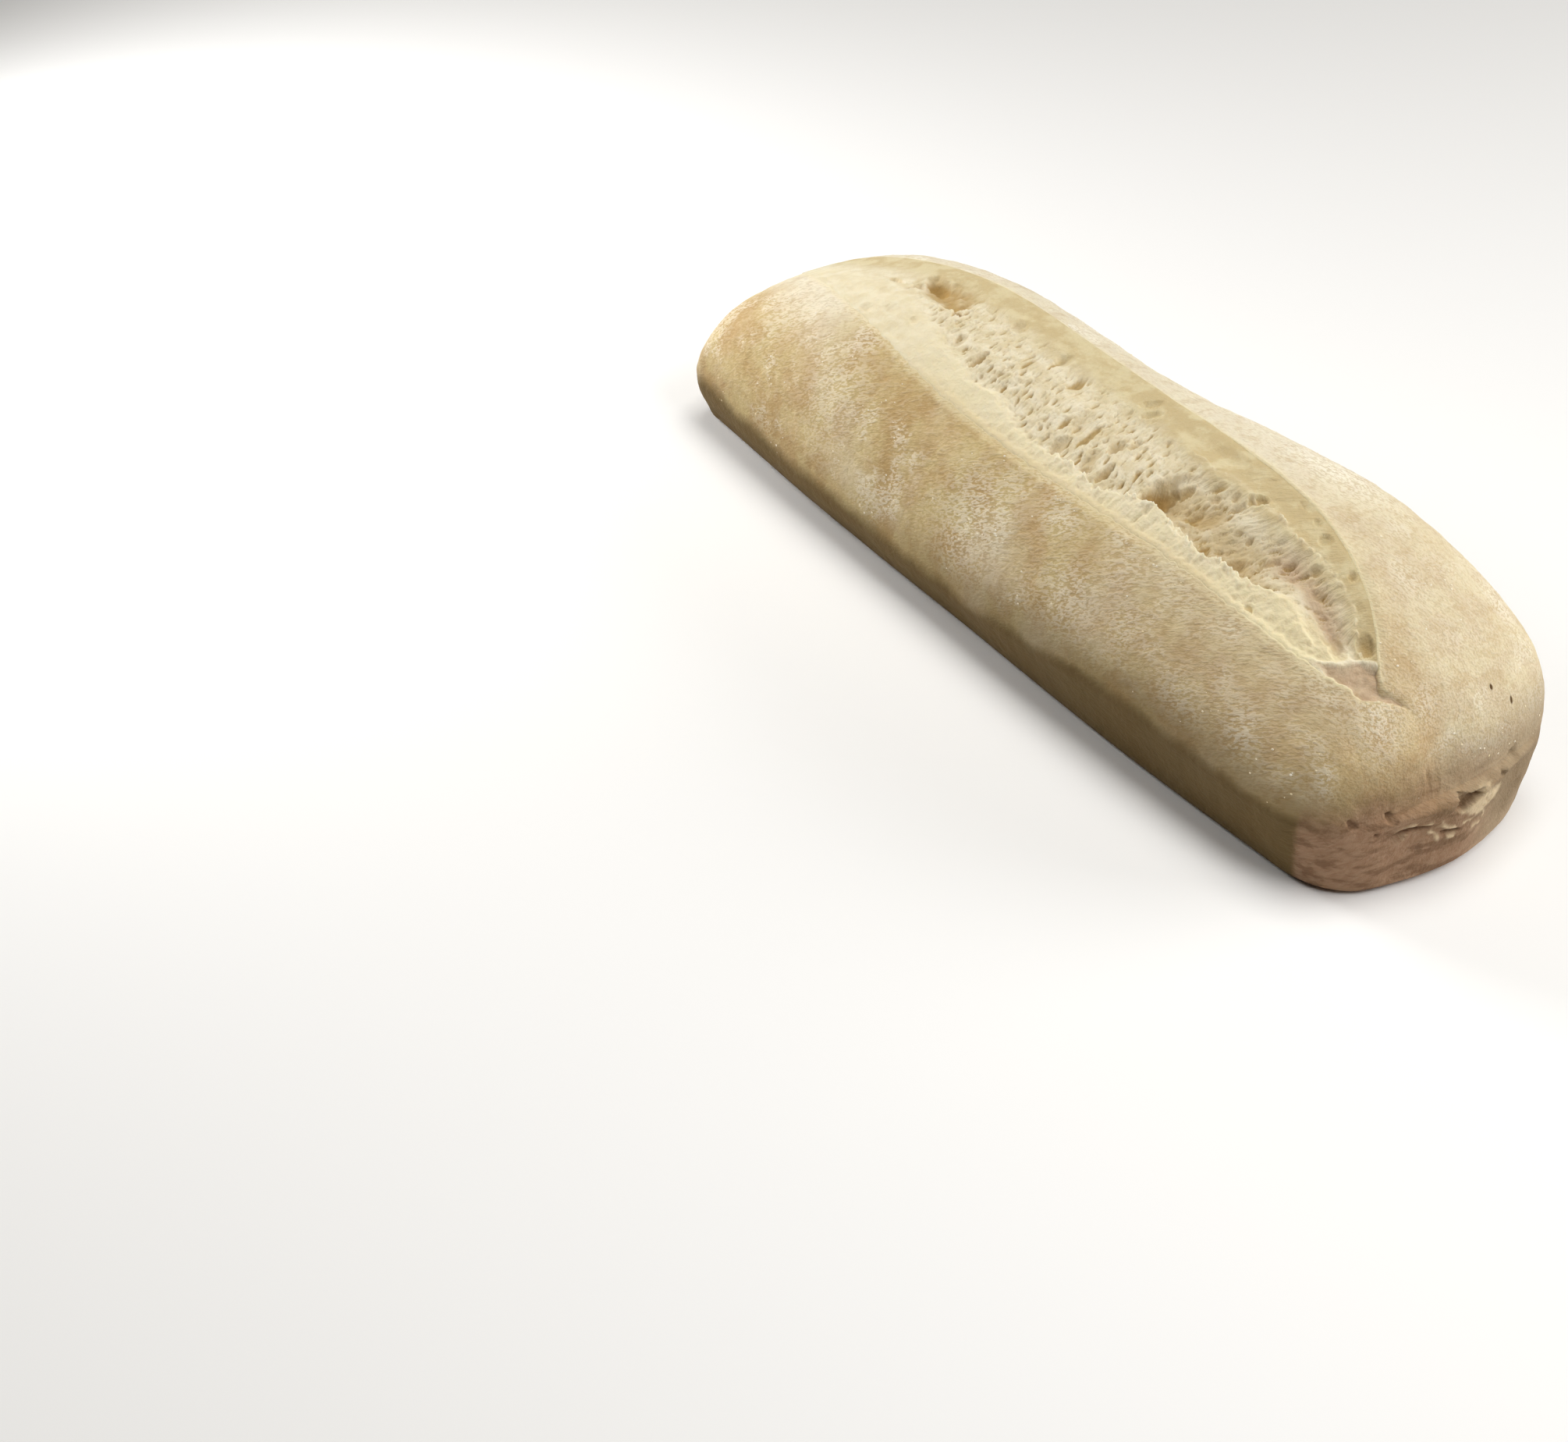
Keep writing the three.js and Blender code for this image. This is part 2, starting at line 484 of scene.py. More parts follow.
class Node(Enum):
    """The kinds of node that the finishes and the Geometry Nodes trees are wired from."""

    ADD = Recipe("ShaderNodeMath", settings={"operation": "ADD"})
    SUBTRACT = Recipe("ShaderNodeMath", settings={"operation": "SUBTRACT"})
    MULTIPLY = Recipe("ShaderNodeMath", settings={"operation": "MULTIPLY"})
    MULTIPLY_ADD = Recipe("ShaderNodeMath", settings={"operation": "MULTIPLY_ADD"})
    MAXIMUM = Recipe("ShaderNodeMath", settings={"operation": "MAXIMUM"})
    POWER = Recipe("ShaderNodeMath", settings={"operation": "POWER"})
    LESS_THAN = Recipe("ShaderNodeMath", settings={"operation": "LESS_THAN"})
    GREATER_THAN = Recipe("ShaderNodeMath", settings={"operation": "GREATER_THAN"})
    STRETCH = Recipe("ShaderNodeVectorMath", settings={"operation": "MULTIPLY"})
    SCALE = Recipe("ShaderNodeVectorMath", (0, "Scale"), 0, {"operation": "SCALE"})
    DISTANCE = Recipe("ShaderNodeVectorMath", (0, 1), "Value", {"operation": "DISTANCE"})
    TURN = Recipe("ShaderNodeMapping", ("Vector", "Rotation", "Scale"), 0, {"vector_type": "TEXTURE"})
    AXES = Recipe("ShaderNodeSeparateXYZ")
    CHANNELS = Recipe("ShaderNodeSeparateColor")
    RAMP = Recipe(
        "ShaderNodeMapRange", ("Value", "From Min", "From Max", "To Min", "To Max"), "Result",
        {"interpolation_type": "SMOOTHSTEP"},
    )
    BLEND = Recipe("ShaderNodeMix", (0, 6, 7), 2, {"data_type": "RGBA"})
    NOISE = Recipe("ShaderNodeTexNoise", ("Vector", "Scale", "Detail", "Roughness"))
    CELLS = Recipe("ShaderNodeTexVoronoi", ("Vector", "Scale", "Randomness"), "Distance")
    BUMP = Recipe("ShaderNodeBump", ("Height", "Strength", "Distance"))
    PLACE = Recipe("ShaderNodeTexCoord", (), "Object")
    MARK = Recipe("ShaderNodeAttribute", (), "Fac")
    STORED = Recipe("GeometryNodeInputNamedAttribute", ("Name",), "Attribute")
    STORE = Recipe(
        "GeometryNodeStoreNamedAttribute", ("Geometry", "Name", "Value"), 0,
        {"data_type": "FLOAT", "domain": "POINT"},
    )
    POSITION = Recipe("GeometryNodeInputPosition", ())
    MOVE = Recipe("GeometryNodeSetPosition", ("Geometry", "Offset"))
    SCATTER = Recipe("GeometryNodeDistributePointsOnFaces", ("Mesh", "Density", "Seed"), "Points")
    BALL = Recipe("GeometryNodeMeshIcoSphere", ("Radius", "Subdivisions"), "Mesh")
    TRANSFORM = Recipe("GeometryNodeTransform", ("Geometry", "Scale"))
    RANDOM = Recipe("FunctionNodeRandomValue", (2, 3, "Seed"), 1, {"data_type": "FLOAT"})
    INSTANCE = Recipe("GeometryNodeInstanceOnPoints", ("Points", "Instance", "Rotation", "Scale"))
    REALIZE = Recipe("GeometryNodeRealizeInstances", ("Geometry",))
    SET_MATERIAL = Recipe("GeometryNodeSetMaterial", ("Geometry", "Material"))


def set_inputs(node: bpy.types.Node, inputs: dict) -> None:
    """Links or sets a node's inputs.

    Args:
        node: the node.
        inputs: for each input, by name or index, a socket to link or a value to hold.
    """
    for name, value in inputs.items():
        if isinstance(value, bpy.types.NodeSocket):
            node.id_data.links.new(value, node.inputs[name])
        else:
            node.inputs[name].default_value = value


def add_node(
    tree: bpy.types.NodeTree, kind: Node, *values: object, **settings: object
) -> bpy.types.NodeSocket:
    """Adds a node with its settings and links.

    Args:
        tree: the node tree.
        kind: the kind of node.
        values: a socket or a value for each of the kind's sockets in turn.
        settings: further properties of the node.

    Returns:
        The output that the kind gives.
    """
    recipe = kind.value
    node = tree.nodes.new(recipe.type)
    for name, value in {**recipe.settings, **settings}.items():
        setattr(node, name, value)
    set_inputs(node, dict(zip(recipe.sockets, values)))
    return node.outputs[recipe.gives]


def lumps(size: float, detail: int) -> tuple[float, float, float]:
    """Gives a noise's scale, detail and roughness for lumps of a size in millimetres."""
    return 1 / (size * MM), detail, 0.55


def new_geometry_tree(name: str, inputs: dict[str, tuple[str, object]]) -> bpy.types.NodeTree:
    """Starts a Geometry Nodes tree with a geometry in and out and named inputs.

    Args:
        name: the tree's name.
        inputs: for each input, its socket type and its default value.

    Returns:
        The tree, with its group input and output nodes named Input and Output.
    """
    tree = bpy.data.node_groups.new(name, "GeometryNodeTree")
    tree.interface.new_socket("Geometry", in_out="INPUT", socket_type="NodeSocketGeometry")
    tree.interface.new_socket("Geometry", in_out="OUTPUT", socket_type="NodeSocketGeometry")
    for label, (kind, default) in inputs.items():
        socket = tree.interface.new_socket(label, in_out="INPUT", socket_type=kind)
        if default is not None:
            socket.default_value = default
    tree.nodes.new("NodeGroupInput").name = "Input"
    tree.nodes.new("NodeGroupOutput").name = "Output"
    return tree


def run_tree(
    piece: bpy.types.Object, tree: bpy.types.NodeTree, values: dict[str, object], name: str
) -> bpy.types.Object:
    """Runs a Geometry Nodes tree on a piece and keeps the result as a plain mesh.

    Args:
        piece: the object the tree works on; it stays as it was.
        tree: the tree.
        values: the tree's inputs, by name.
        name: the name of the finished object.

    Returns:
        A new object with the evaluated mesh and no modifier.
    """
    modifier = piece.modifiers.new(tree.name, "NODES")
    modifier.node_group = tree
    for item in tree.interface.items_tree:
        if getattr(item, "in_out", "") == "INPUT" and item.name in values:
            modifier[item.identifier] = values[item.name]
    bpy.context.view_layer.update()
    evaluated = piece.evaluated_get(bpy.context.evaluated_depsgraph_get())
    mesh = bpy.data.meshes.new_from_object(evaluated)
    mesh.name = name
    piece.modifiers.remove(modifier)
    result = bpy.data.objects.new(name, mesh)
    bpy.context.scene.collection.objects.link(result)
    return result


def discard(piece: bpy.types.Object) -> None:
    """Removes a helper object and its mesh.

    Args:
        piece: the helper.
    """
    mesh = piece.data
    bpy.data.objects.remove(piece)
    bpy.data.meshes.remove(mesh)


def new_material(name: str) -> tuple[bpy.types.Material, Wire, bpy.types.Node]:
    """Starts a node material.

    Args:
        name: the material's name.

    Returns:
        The material, a function that adds nodes to it, and its Principled BSDF node.
    """
    material = bpy.data.materials.new(name)
    material.use_nodes = True
    tree = material.node_tree
    return material, partial(add_node, tree), tree.nodes["Principled BSDF"]


# Finishes


@dataclass(frozen=True)
class FlouryCrust:
    """Thin pale wheat crust, baked soft and dusted with flour.

    The starch skin is matt and mottled from yellow tan to cream, and paler at the far end beside the slash.
    Flour lies in patches of powdery grain that is drawn out a little across the roll. The undercut
    sides are baked brown and painted darker still as painted shade, most towards the near end. The torn
    skin of the near end is pinkish and crumbly; painted shade darkens it low on the left and in a band
    above its brim, and painted light makes it lighter towards its right. A pale lip line with painted
    highlight runs along the left lip, with painted highlight on the shoulder beside its near half and
    on the cut walls at both lips.
    """

    dough: str = "#d2bc88"
    toasted: str = "#c1a26e"
    rosy: str = "#cfae86"
    cream: str = "#eae1c9"
    grain_shade: str = "#a98c60"
    crease_shade: str = "#bfa272"
    flour: str = "#efe3ca"
    white_flour: str = "#f8f1de"
    undercut: str = "#66522f"
    # The near end's skin colour is darkened as painted shade; the colour for its right side is painted
    # light.
    shaded_end_skin: str = "#a07d62"
    end_light: str = "#b9997c"
    end_streak: str = "#7c5d45"
    end_lit_side: str = "#d6c0a0"
    torn: str = "#dfc9a4"
    # The lip colour is a pale lip line and painted highlight.
    lip: str = "#ecddb4"
    speck: str = "#5f4527"
    mottle_size: float = 7.0
    patch_size: float = 9.0
    drift_size: float = 30.0
    speckle_size: float = 1.3
    grain_size: float = 0.42
    fleck_turn: tuple = (0.0, -0.38, 0.41)
    fleck_stretch: tuple = (2.6, 1.0, 1.0)

    def make(self) -> bpy.types.Material:
        """Builds the material.

        Returns:
            The material.
        """
        material, wire, shader = new_material("floury_baked_crust")
        place = wire(Node.PLACE)
        x, y = wire(Node.AXES, place).node.outputs[:2]
        pale, above_crease, end_face_and_shading, torn_end, lip_line_and_highlight, cut_wall_highlight = (
            wire(Node.MARK, attribute_name=name)
            for name in ("pale", "above_crease", "end_face_and_shading", "torn_end", "lip_line_and_highlight", "cut_wall_highlight")
        )
        # The powder's flecks are drawn out on the slant, the way a hand rolled the dough in flour. Flour's
        # grains are under 0.1 mm, too fine to show, so they are drawn at 0.42 mm.
        flecks = wire(Node.TURN, place, self.fleck_turn, self.fleck_stretch)
        grain = wire(Node.NOISE, flecks, *lumps(self.grain_size, 2))
        speckle = wire(Node.NOISE, flecks, *lumps(self.speckle_size, 4))
        mottle = wire(Node.NOISE, place, *lumps(self.mottle_size, 5))
        colour = wire(
            Node.BLEND, wire(Node.RAMP, mottle, 0.36, 0.62), linear(self.toasted), linear(self.dough)
        )
        rosy = wire(Node.RAMP, wire(Node.NOISE, place, *lumps(13, 4)), 0.46, 0.62, 0, 0.25)
        rosy = wire(Node.MAXIMUM, rosy, wire(Node.RAMP, x, 20 * MM, 75 * MM, 0, 0.3))
        right_side = wire(Node.RAMP, wire(Node.MULTIPLY_ADD, mottle, 8 * MM, y), -9 * MM, 5 * MM)
        rosy = wire(Node.MULTIPLY, rosy, wire(Node.MULTIPLY_ADD, right_side, -0.8, 1.0))
        cream = wire(Node.MULTIPLY, right_side, wire(Node.RAMP, x, 30 * MM, 70 * MM, 0.8, 0.45))
        cream_patch = wire(Node.RAMP, wire(Node.NOISE, place, *lumps(24, 3)), 0.5, 0.72, 0, 0.4)
        # The pale mark is partly a paler far end and partly painted highlight beside the near half of the
        # left lip.
        cream = wire(Node.MAXIMUM, wire(Node.MAXIMUM, cream, cream_patch), pale)
        powder = wire(Node.MULTIPLY_ADD, grain, 0.7, wire(Node.MULTIPLY, speckle, 0.3))
        shade = wire(Node.RAMP, powder, 0.5, 0.4, 0, 0.2)
        shade = wire(Node.MULTIPLY, shade, wire(Node.MULTIPLY_ADD, cream, -0.2, 1.0))
        creases = wire(Node.NOISE, wire(Node.STRETCH, place, (1.0, 0.5, 0.5)), *lumps(2.4, 6))
        white = wire(Node.BLEND, right_side, linear(self.flour), linear(self.white_flour))
        # Painted shade: below the crease the colour turns to the undercut's brown, partly the baked base and
        # partly painted shade, which is stronger towards the near end.
        wander = wire(Node.MULTIPLY_ADD, wire(Node.NOISE, place, *lumps(12, 3)), 5.0, above_crease)
        shadowed = wire(Node.RAMP, x, -40 * MM, 15 * MM, 0.25, 0.58)
        low = wire(Node.MULTIPLY, wire(Node.RAMP, wander, 5, 16, 1, 0), shadowed)
        low = wire(Node.MAXIMUM, low, wire(Node.RAMP, wander, 2.5, 9, 0.95, 0))
        # Painted highlight: a pale lip line, widened by painted highlight beside the near half of the left
        # lip, and painted highlight on the cut walls, which lie in shade.
        lip = wire(Node.MULTIPLY, lip_line_and_highlight, wire(Node.RAMP, grain, 0.3, 0.6, 0.2, 0.55))
        for share, over in (
            (rosy, linear(self.rosy)),
            (cream, linear(self.cream)),
            (shade, linear(self.grain_shade)),
            (wire(Node.RAMP, creases, 0.5, 0.36, 0, 0.3), linear(self.crease_shade)),
            (self.flour_share(wire, place, powder, above_crease), white),
            (self.speck_share(wire, place), linear(self.speck)),
            (low, linear(self.undercut)),
            # The near end's pinkish skin, with its painted shade and painted light.
            (wire(Node.MULTIPLY, end_face_and_shading, 0.88), self.end_colour(wire, place, speckle)),
            (wire(Node.MULTIPLY, torn_end, 0.85), linear(self.torn)),
            (wire(Node.MAXIMUM, lip, cut_wall_highlight), linear(self.lip)),
        ):
            colour = wire(Node.BLEND, share, colour, over)
        relief = wire(Node.MULTIPLY_ADD, speckle, 1.6, grain)
        set_inputs(shader, {
            "Base Color": colour, "Normal": wire(Node.BUMP, relief, 0.6, 0.34 * MM), "Roughness": 0.85,
            "IOR": 1.45, "Specular IOR Level": 0.25, "Subsurface Weight": 0.1,
            "Subsurface Radius": (1.0, 0.6, 0.3), "Subsurface Scale": 1.2 * MM,
        })
        return material

    def flour_share(
        self, wire: Wire, place: object, powder: object, above_crease: object
    ) -> bpy.types.NodeSocket:
        """Works out how thick the dusting of flour is.

        Args:
            wire: adds nodes to the material.
            place: the object coordinates.
            powder: the grain of the powder.
            above_crease: the height above the crease.

        Returns:
            The flour's share of the colour.
        """
        patch = wire(Node.RAMP, wire(Node.NOISE, place, *lumps(self.patch_size, 5)), 0.47, 0.6)
        drift = wire(Node.RAMP, wire(Node.NOISE, place, *lumps(self.drift_size, 2)), 0.34, 0.52)
        fewer = wire(Node.RAMP, wire(Node.AXES, place), 20 * MM, 60 * MM, 0.85, 0.5)
        patch = wire(Node.MULTIPLY, wire(Node.MULTIPLY, patch, drift), fewer)
        dusted = wire(Node.MAXIMUM, patch, wire(Node.MARK, attribute_name="dusting"))
        heavy = wire(Node.MULTIPLY, wire(Node.RAMP, powder, 0.45, 0.54, 0.05, 1), dusted)
        thin = wire(Node.RAMP, powder, 0.48, 0.62, 0.0, 0.22)
        above = wire(Node.RAMP, above_crease, 1, 9, 0.0, 1)
        share = wire(Node.MULTIPLY, wire(Node.MAXIMUM, heavy, thin), above)
        return wire(Node.MULTIPLY, share, 0.8)

    def speck_share(self, wire: Wire, place: object) -> bpy.types.NodeSocket:
        """Finds the few dark specks of bran.

        Args:
            wire: adds nodes to the material.
            place: the object coordinates.

        Returns:
            The specks' share of the colour.
        """
        distance = wire(Node.CELLS, place, 1 / (9 * MM), 1.0)
        lot = wire(Node.CHANNELS, distance.node.outputs["Color"])
        dots = wire(Node.RAMP, distance, 0.025, 0.04, 1, 0)
        dots = wire(Node.MULTIPLY, dots, wire(Node.GREATER_THAN, lot, 0.85))
        from_above = wire(Node.STRETCH, place, (1.0, 1.0, 0.0))
        for x, y in BRAN:
            away = wire(Node.DISTANCE, from_above, (x * MM, y * MM, 0.0))
            dots = wire(Node.MAXIMUM, dots, wire(Node.RAMP, away, 0.22 * MM, 0.45 * MM, 1, 0))
        return dots

    def end_colour(self, wire: Wire, place: object, speckle: object) -> bpy.types.NodeSocket:
        """Mixes the colour of the near end's wiped, pinkish skin, darkened by painted shade and lightened
        towards its right by painted light.

        Args:
            wire: adds nodes to the material.
            place: the object coordinates.
            speckle: the powder's coarse grain.

        Returns:
            The colour.
        """
        across = wire(Node.AXES, place).node.outputs["Y"]
        wiped = wire(Node.NOISE, wire(Node.STRETCH, place, (1.0, 0.3, 1.6)), *lumps(3.0, 5))
        skin = linear(self.shaded_end_skin)
        for share, over in (
            (wire(Node.RAMP, speckle, 0.35, 0.65, 0, 0.5), self.end_light),
            (wire(Node.RAMP, wiped, 0.54, 0.38, 0, 0.75), self.end_streak),
            # Painted light: the face is lighter towards its right, where it turns to the light.
            (wire(Node.RAMP, across, 0, 14 * MM, 0, 0.6), self.end_lit_side),
        ):
            skin = wire(Node.BLEND, share, skin, linear(over))
        return skin


@dataclass(frozen=True)
class OpenCrumb:
    """White wheat crumb torn open in the oven, with the strip of skin and the cut band beside it.

    Gluten walls are creamy and let light through, so their shadows stay soft and warm. The floors of
    the cells, the hollows and the deepest crumb are painted browner and darker as painted shade, and so
    is the strip just inside the left lip. The strip is a smooth waxy yellow and the band is tan and dry.
    """

    wall: str = "#e9dec2"
    crumb: str = "#dccda9"
    deep_shade: str = "#c1a97c"
    # The cell and hollow colours are painted shade for the cells' floors and the hollows.
    cell: str = "#b89a60"
    hollow: str = "#b3935a"
    strip: str = "#ecdfba"
    pale_strip: str = "#eedfb4"
    band: str = "#ccb88c"
    band_light: str = "#dacba2"
    ragged: str = "#cdb394"
    lip_shade: str = "#d3ba86"
    bright: str = "#f3ead2"
    mottle_size: float = 3.0
    broad_size: float = 4.0
    fluff_size: float = 1.3
    pore_size: float = 0.6

    def make(self) -> bpy.types.Material:
        """Builds the material.

        Returns:
            The material.
        """
        material, wire, shader = new_material("torn_wheat_crumb")
        place = wire(Node.PLACE)
        deep_shade, on_band, lip_shade, on_strip, ragged, cell_depth, hollow, bright_edge = (
            wire(Node.MARK, attribute_name=name) for name in (
                "deep_shade", "band", "lip_shade", "strip", "ragged", "cell_depth", "hollow", "bright_edge")
        )
        wall = linear(self.wall)
        mottle = wire(Node.NOISE, place, *lumps(self.mottle_size, 4))
        broad = wire(Node.NOISE, place, *lumps(self.broad_size, 5))
        colour = wire(Node.BLEND, wire(Node.RAMP, mottle, 0.35, 0.65), linear(self.crumb), wall)
        band = wire(
            Node.BLEND, wire(Node.RAMP, broad, 0.4, 0.62), linear(self.band), linear(self.band_light)
        )
        strip = wire(Node.BLEND, wire(Node.RAMP, broad, 0.4, 0.65, 0, 0.45), linear(self.strip), wall)
        near = wire(Node.RAMP, wire(Node.AXES, place), 40 * MM, 75 * MM, 0, 0.7)
        strip = wire(Node.BLEND, near, strip, linear(self.pale_strip))
        # Painted shade: the strip is painted darker tan just inside the left lip, under its edge.
        strip = wire(Node.BLEND, lip_shade, strip, linear(self.lip_shade))
        torn = wire(Node.MULTIPLY, ragged, wire(Node.RAMP, mottle, 0.3, 0.6, 0.6, 1))
        for share, over in (
            # Painted shade: the deepest crumb is painted darker.
            (wire(Node.MULTIPLY, deep_shade, 0.8), linear(self.deep_shade)),
            (on_band, band),
            (on_strip, strip),
            (torn, linear(self.ragged)),
            # Painted shade: the cells' floors and the hollows are painted darker brown the deeper they go,
            # and so is the bowl's far wall.
            (wire(Node.RAMP, cell_depth, 0.12, 0.7, 0, 0.85), linear(self.cell)),
            (wire(Node.RAMP, hollow, 0.15, 2.2, 0, 1.0), linear(self.hollow)),
            (wire(Node.MULTIPLY, bright_edge, 0.7), linear(self.bright)),
        ):
            colour = wire(Node.BLEND, share, colour, over)
        # The finest fibres run the way the dough tore, so their grain follows the cells' own directions.
        fibres = wire(Node.MARK, attribute_name="cell_place").node.outputs["Vector"]
        strands = wire(Node.NOISE, fibres, 2.4, 4.0)
        # The strip's skin has no fibres but a fluff of short torn ends. The pores under 0.6 mm are too
        # fine to show, so they are drawn at that size.
        fibrous = wire(Node.MULTIPLY_ADD, on_strip, -1.2, 1.5)
        fluff = wire(Node.MULTIPLY, wire(Node.NOISE, place, *lumps(self.fluff_size, 5)), on_strip)
        pores = wire(Node.NOISE, place, *lumps(self.pore_size, 3))
        relief = wire(Node.MULTIPLY_ADD, fluff, 1.8, pores)
        relief = wire(Node.MULTIPLY_ADD, strands, fibrous, relief)
        set_inputs(shader, {
            "Base Color": colour, "Normal": wire(Node.BUMP, relief, 0.5, 0.35 * MM), "Roughness": 0.75,
            "IOR": 1.45, "Specular IOR Level": 0.25, "Subsurface Weight": 0.3,
            "Subsurface Radius": (1.0, 0.8, 0.55), "Subsurface Scale": 1.0 * MM,
        })
        return material


@dataclass(frozen=True)
class LooseFlour:
    """White wheat flour, sifted: tiny clumps that scatter light and look chalky."""

    colour: str = "#f4ecdb"
    creamy: str = "#ead8ae"

    def make(self) -> bpy.types.Material:
        """Builds the material.

        Returns:
            The material.
        """
        material, wire, shader = new_material("sifted_flour")
        tint = wire(Node.RAMP, wire(Node.NOISE, wire(Node.PLACE), *lumps(4, 2)), 0.3, 0.7)
        colour = wire(Node.BLEND, tint, linear(self.creamy), linear(self.colour))
        set_inputs(shader, {"Base Color": colour, "Roughness": 0.95, "Specular IOR Level": 0.2})
        return material


# Placed features


@dataclass(frozen=True)
class Hollow:
    """A cell or bubble at a chosen place: half its length along and across the roll, and its depth."""

    x: float
    y: float
    half_along: float
    half_across: float
    depth: float
    lean: float = 0.0
    crisp: float = 0.5

    def cut(self, x: np.ndarray, y: np.ndarray) -> np.ndarray:
        """Gives how deep this hollow cuts at each point, with a slightly raised rim.

        Args:
            x: places along the roll.
            y: places across the roll.

        Returns:
            Depths in millimetres, below 0 on the rim.
        """
        dx = (x - self.x) - self.lean * (y - self.y)
        reach = np.hypot(dx / self.half_along, (y - self.y) / self.half_across)
        reach = reach * (1 + 0.16 * value_noise(np.stack((x / 1.5, y / 1.5), axis=-1), 61, 2))
        bowl = np.clip(1 - reach**2, 0, 1) ** self.crisp
        rim = bell(reach - 1.08, 0.12) * (self.crisp < 0.8)
        return self.depth * bowl - 0.1 * min(self.depth, 1.2) * rim


# How far the cells lean along the roll for each millimetre across it.
CELL_LEAN = -0.1
# The crack across the near end's face, as y and z of its corners.
END_CRACK = ((-18.5, 13.8), (-14.5, 11.6), (-12, 12.9), (-7, 12.2), (-4.5, 9.9), (2, 9.2), (6, 8.2))
# The crumbly rim above it, likewise.
END_RIM = ((-28, 17), (-22, 20), (-10, 20.2), (3, 21.2), (14, 21))
# The face's pits: y, z, radius and depth.
END_PITS = (
    (-22.8, 16.4, 0.9, 1.1), (-16.2, 16.4, 0.9, 1.1), (13.6, 17.2, 1.2, 1.0), (9.2, 16.2, 0.9, 0.7),
    (-9, 7.5, 0.8, 0.4), (17, 9.5, 0.9, 0.5),
)
# Heavier dustings of flour: x, y, reach along and across the roll, and amount.
DUSTINGS = (
    (88, -15, 5, 4.5, 0.9), (76.5, -24.1, 3, 2.5, 0.5), (73.5, -29.3, 5, 2.4, 0.9), (89, -25.6, 2.4, 1.8, 1),
    (2, -28.5, 10, 5, 0.9), (38, -25, 6, 4, 0.6), (-45, -27, 10, 5, 0.7), (-70, -20, 10, 6, 0.8),
    (-58, -15.5, 12, 3, 0.9), (-34, -17.5, 8, 3, 0.7), (-12, -17.8, 6, 1.5, 0.9), (20, -24, 7, 3, 0.7),
    (30, -30, 9, 3, 0.8), (52, -24.5, 4, 2, 0.6), (60, -31, 8, 2, 0.7), (82, -12, 5, 2, 0.8),
    (62, -23.2, 3, 1.5, 0.9), (44, -29.5, 5, 2.5, 0.7), (66, -27.4, 3, 1.5, 0.6), (35, -23, 5, 1.2, 0.9),
    (67, 26.5, 12, 3, 0.7), (80.6, 21.4, 6, 3, 0.7), (72.6, 5, 6, 3, 0.5), (44.5, 16, 14, 6, 1),
    (20, 22, 16, 6, 0.9), (-20, 22, 16, 6, 0.9), (90, -6, 2.5, 3, 0.6), (80, -19.5, 6, 2.5, 0.8),
)
# Two specks of bran, as x and y.
BRAN = ((91.7, 9.1), (93.3, 13.6))
# The thin membrane before the sunken tip, as y and x of its corners.
MEMBRANE = ((-20, 74.5), (-17.4, 76.7), (-15.6, 79), (-12.6, 80.3), (-10.4, 83), (-8, 85))

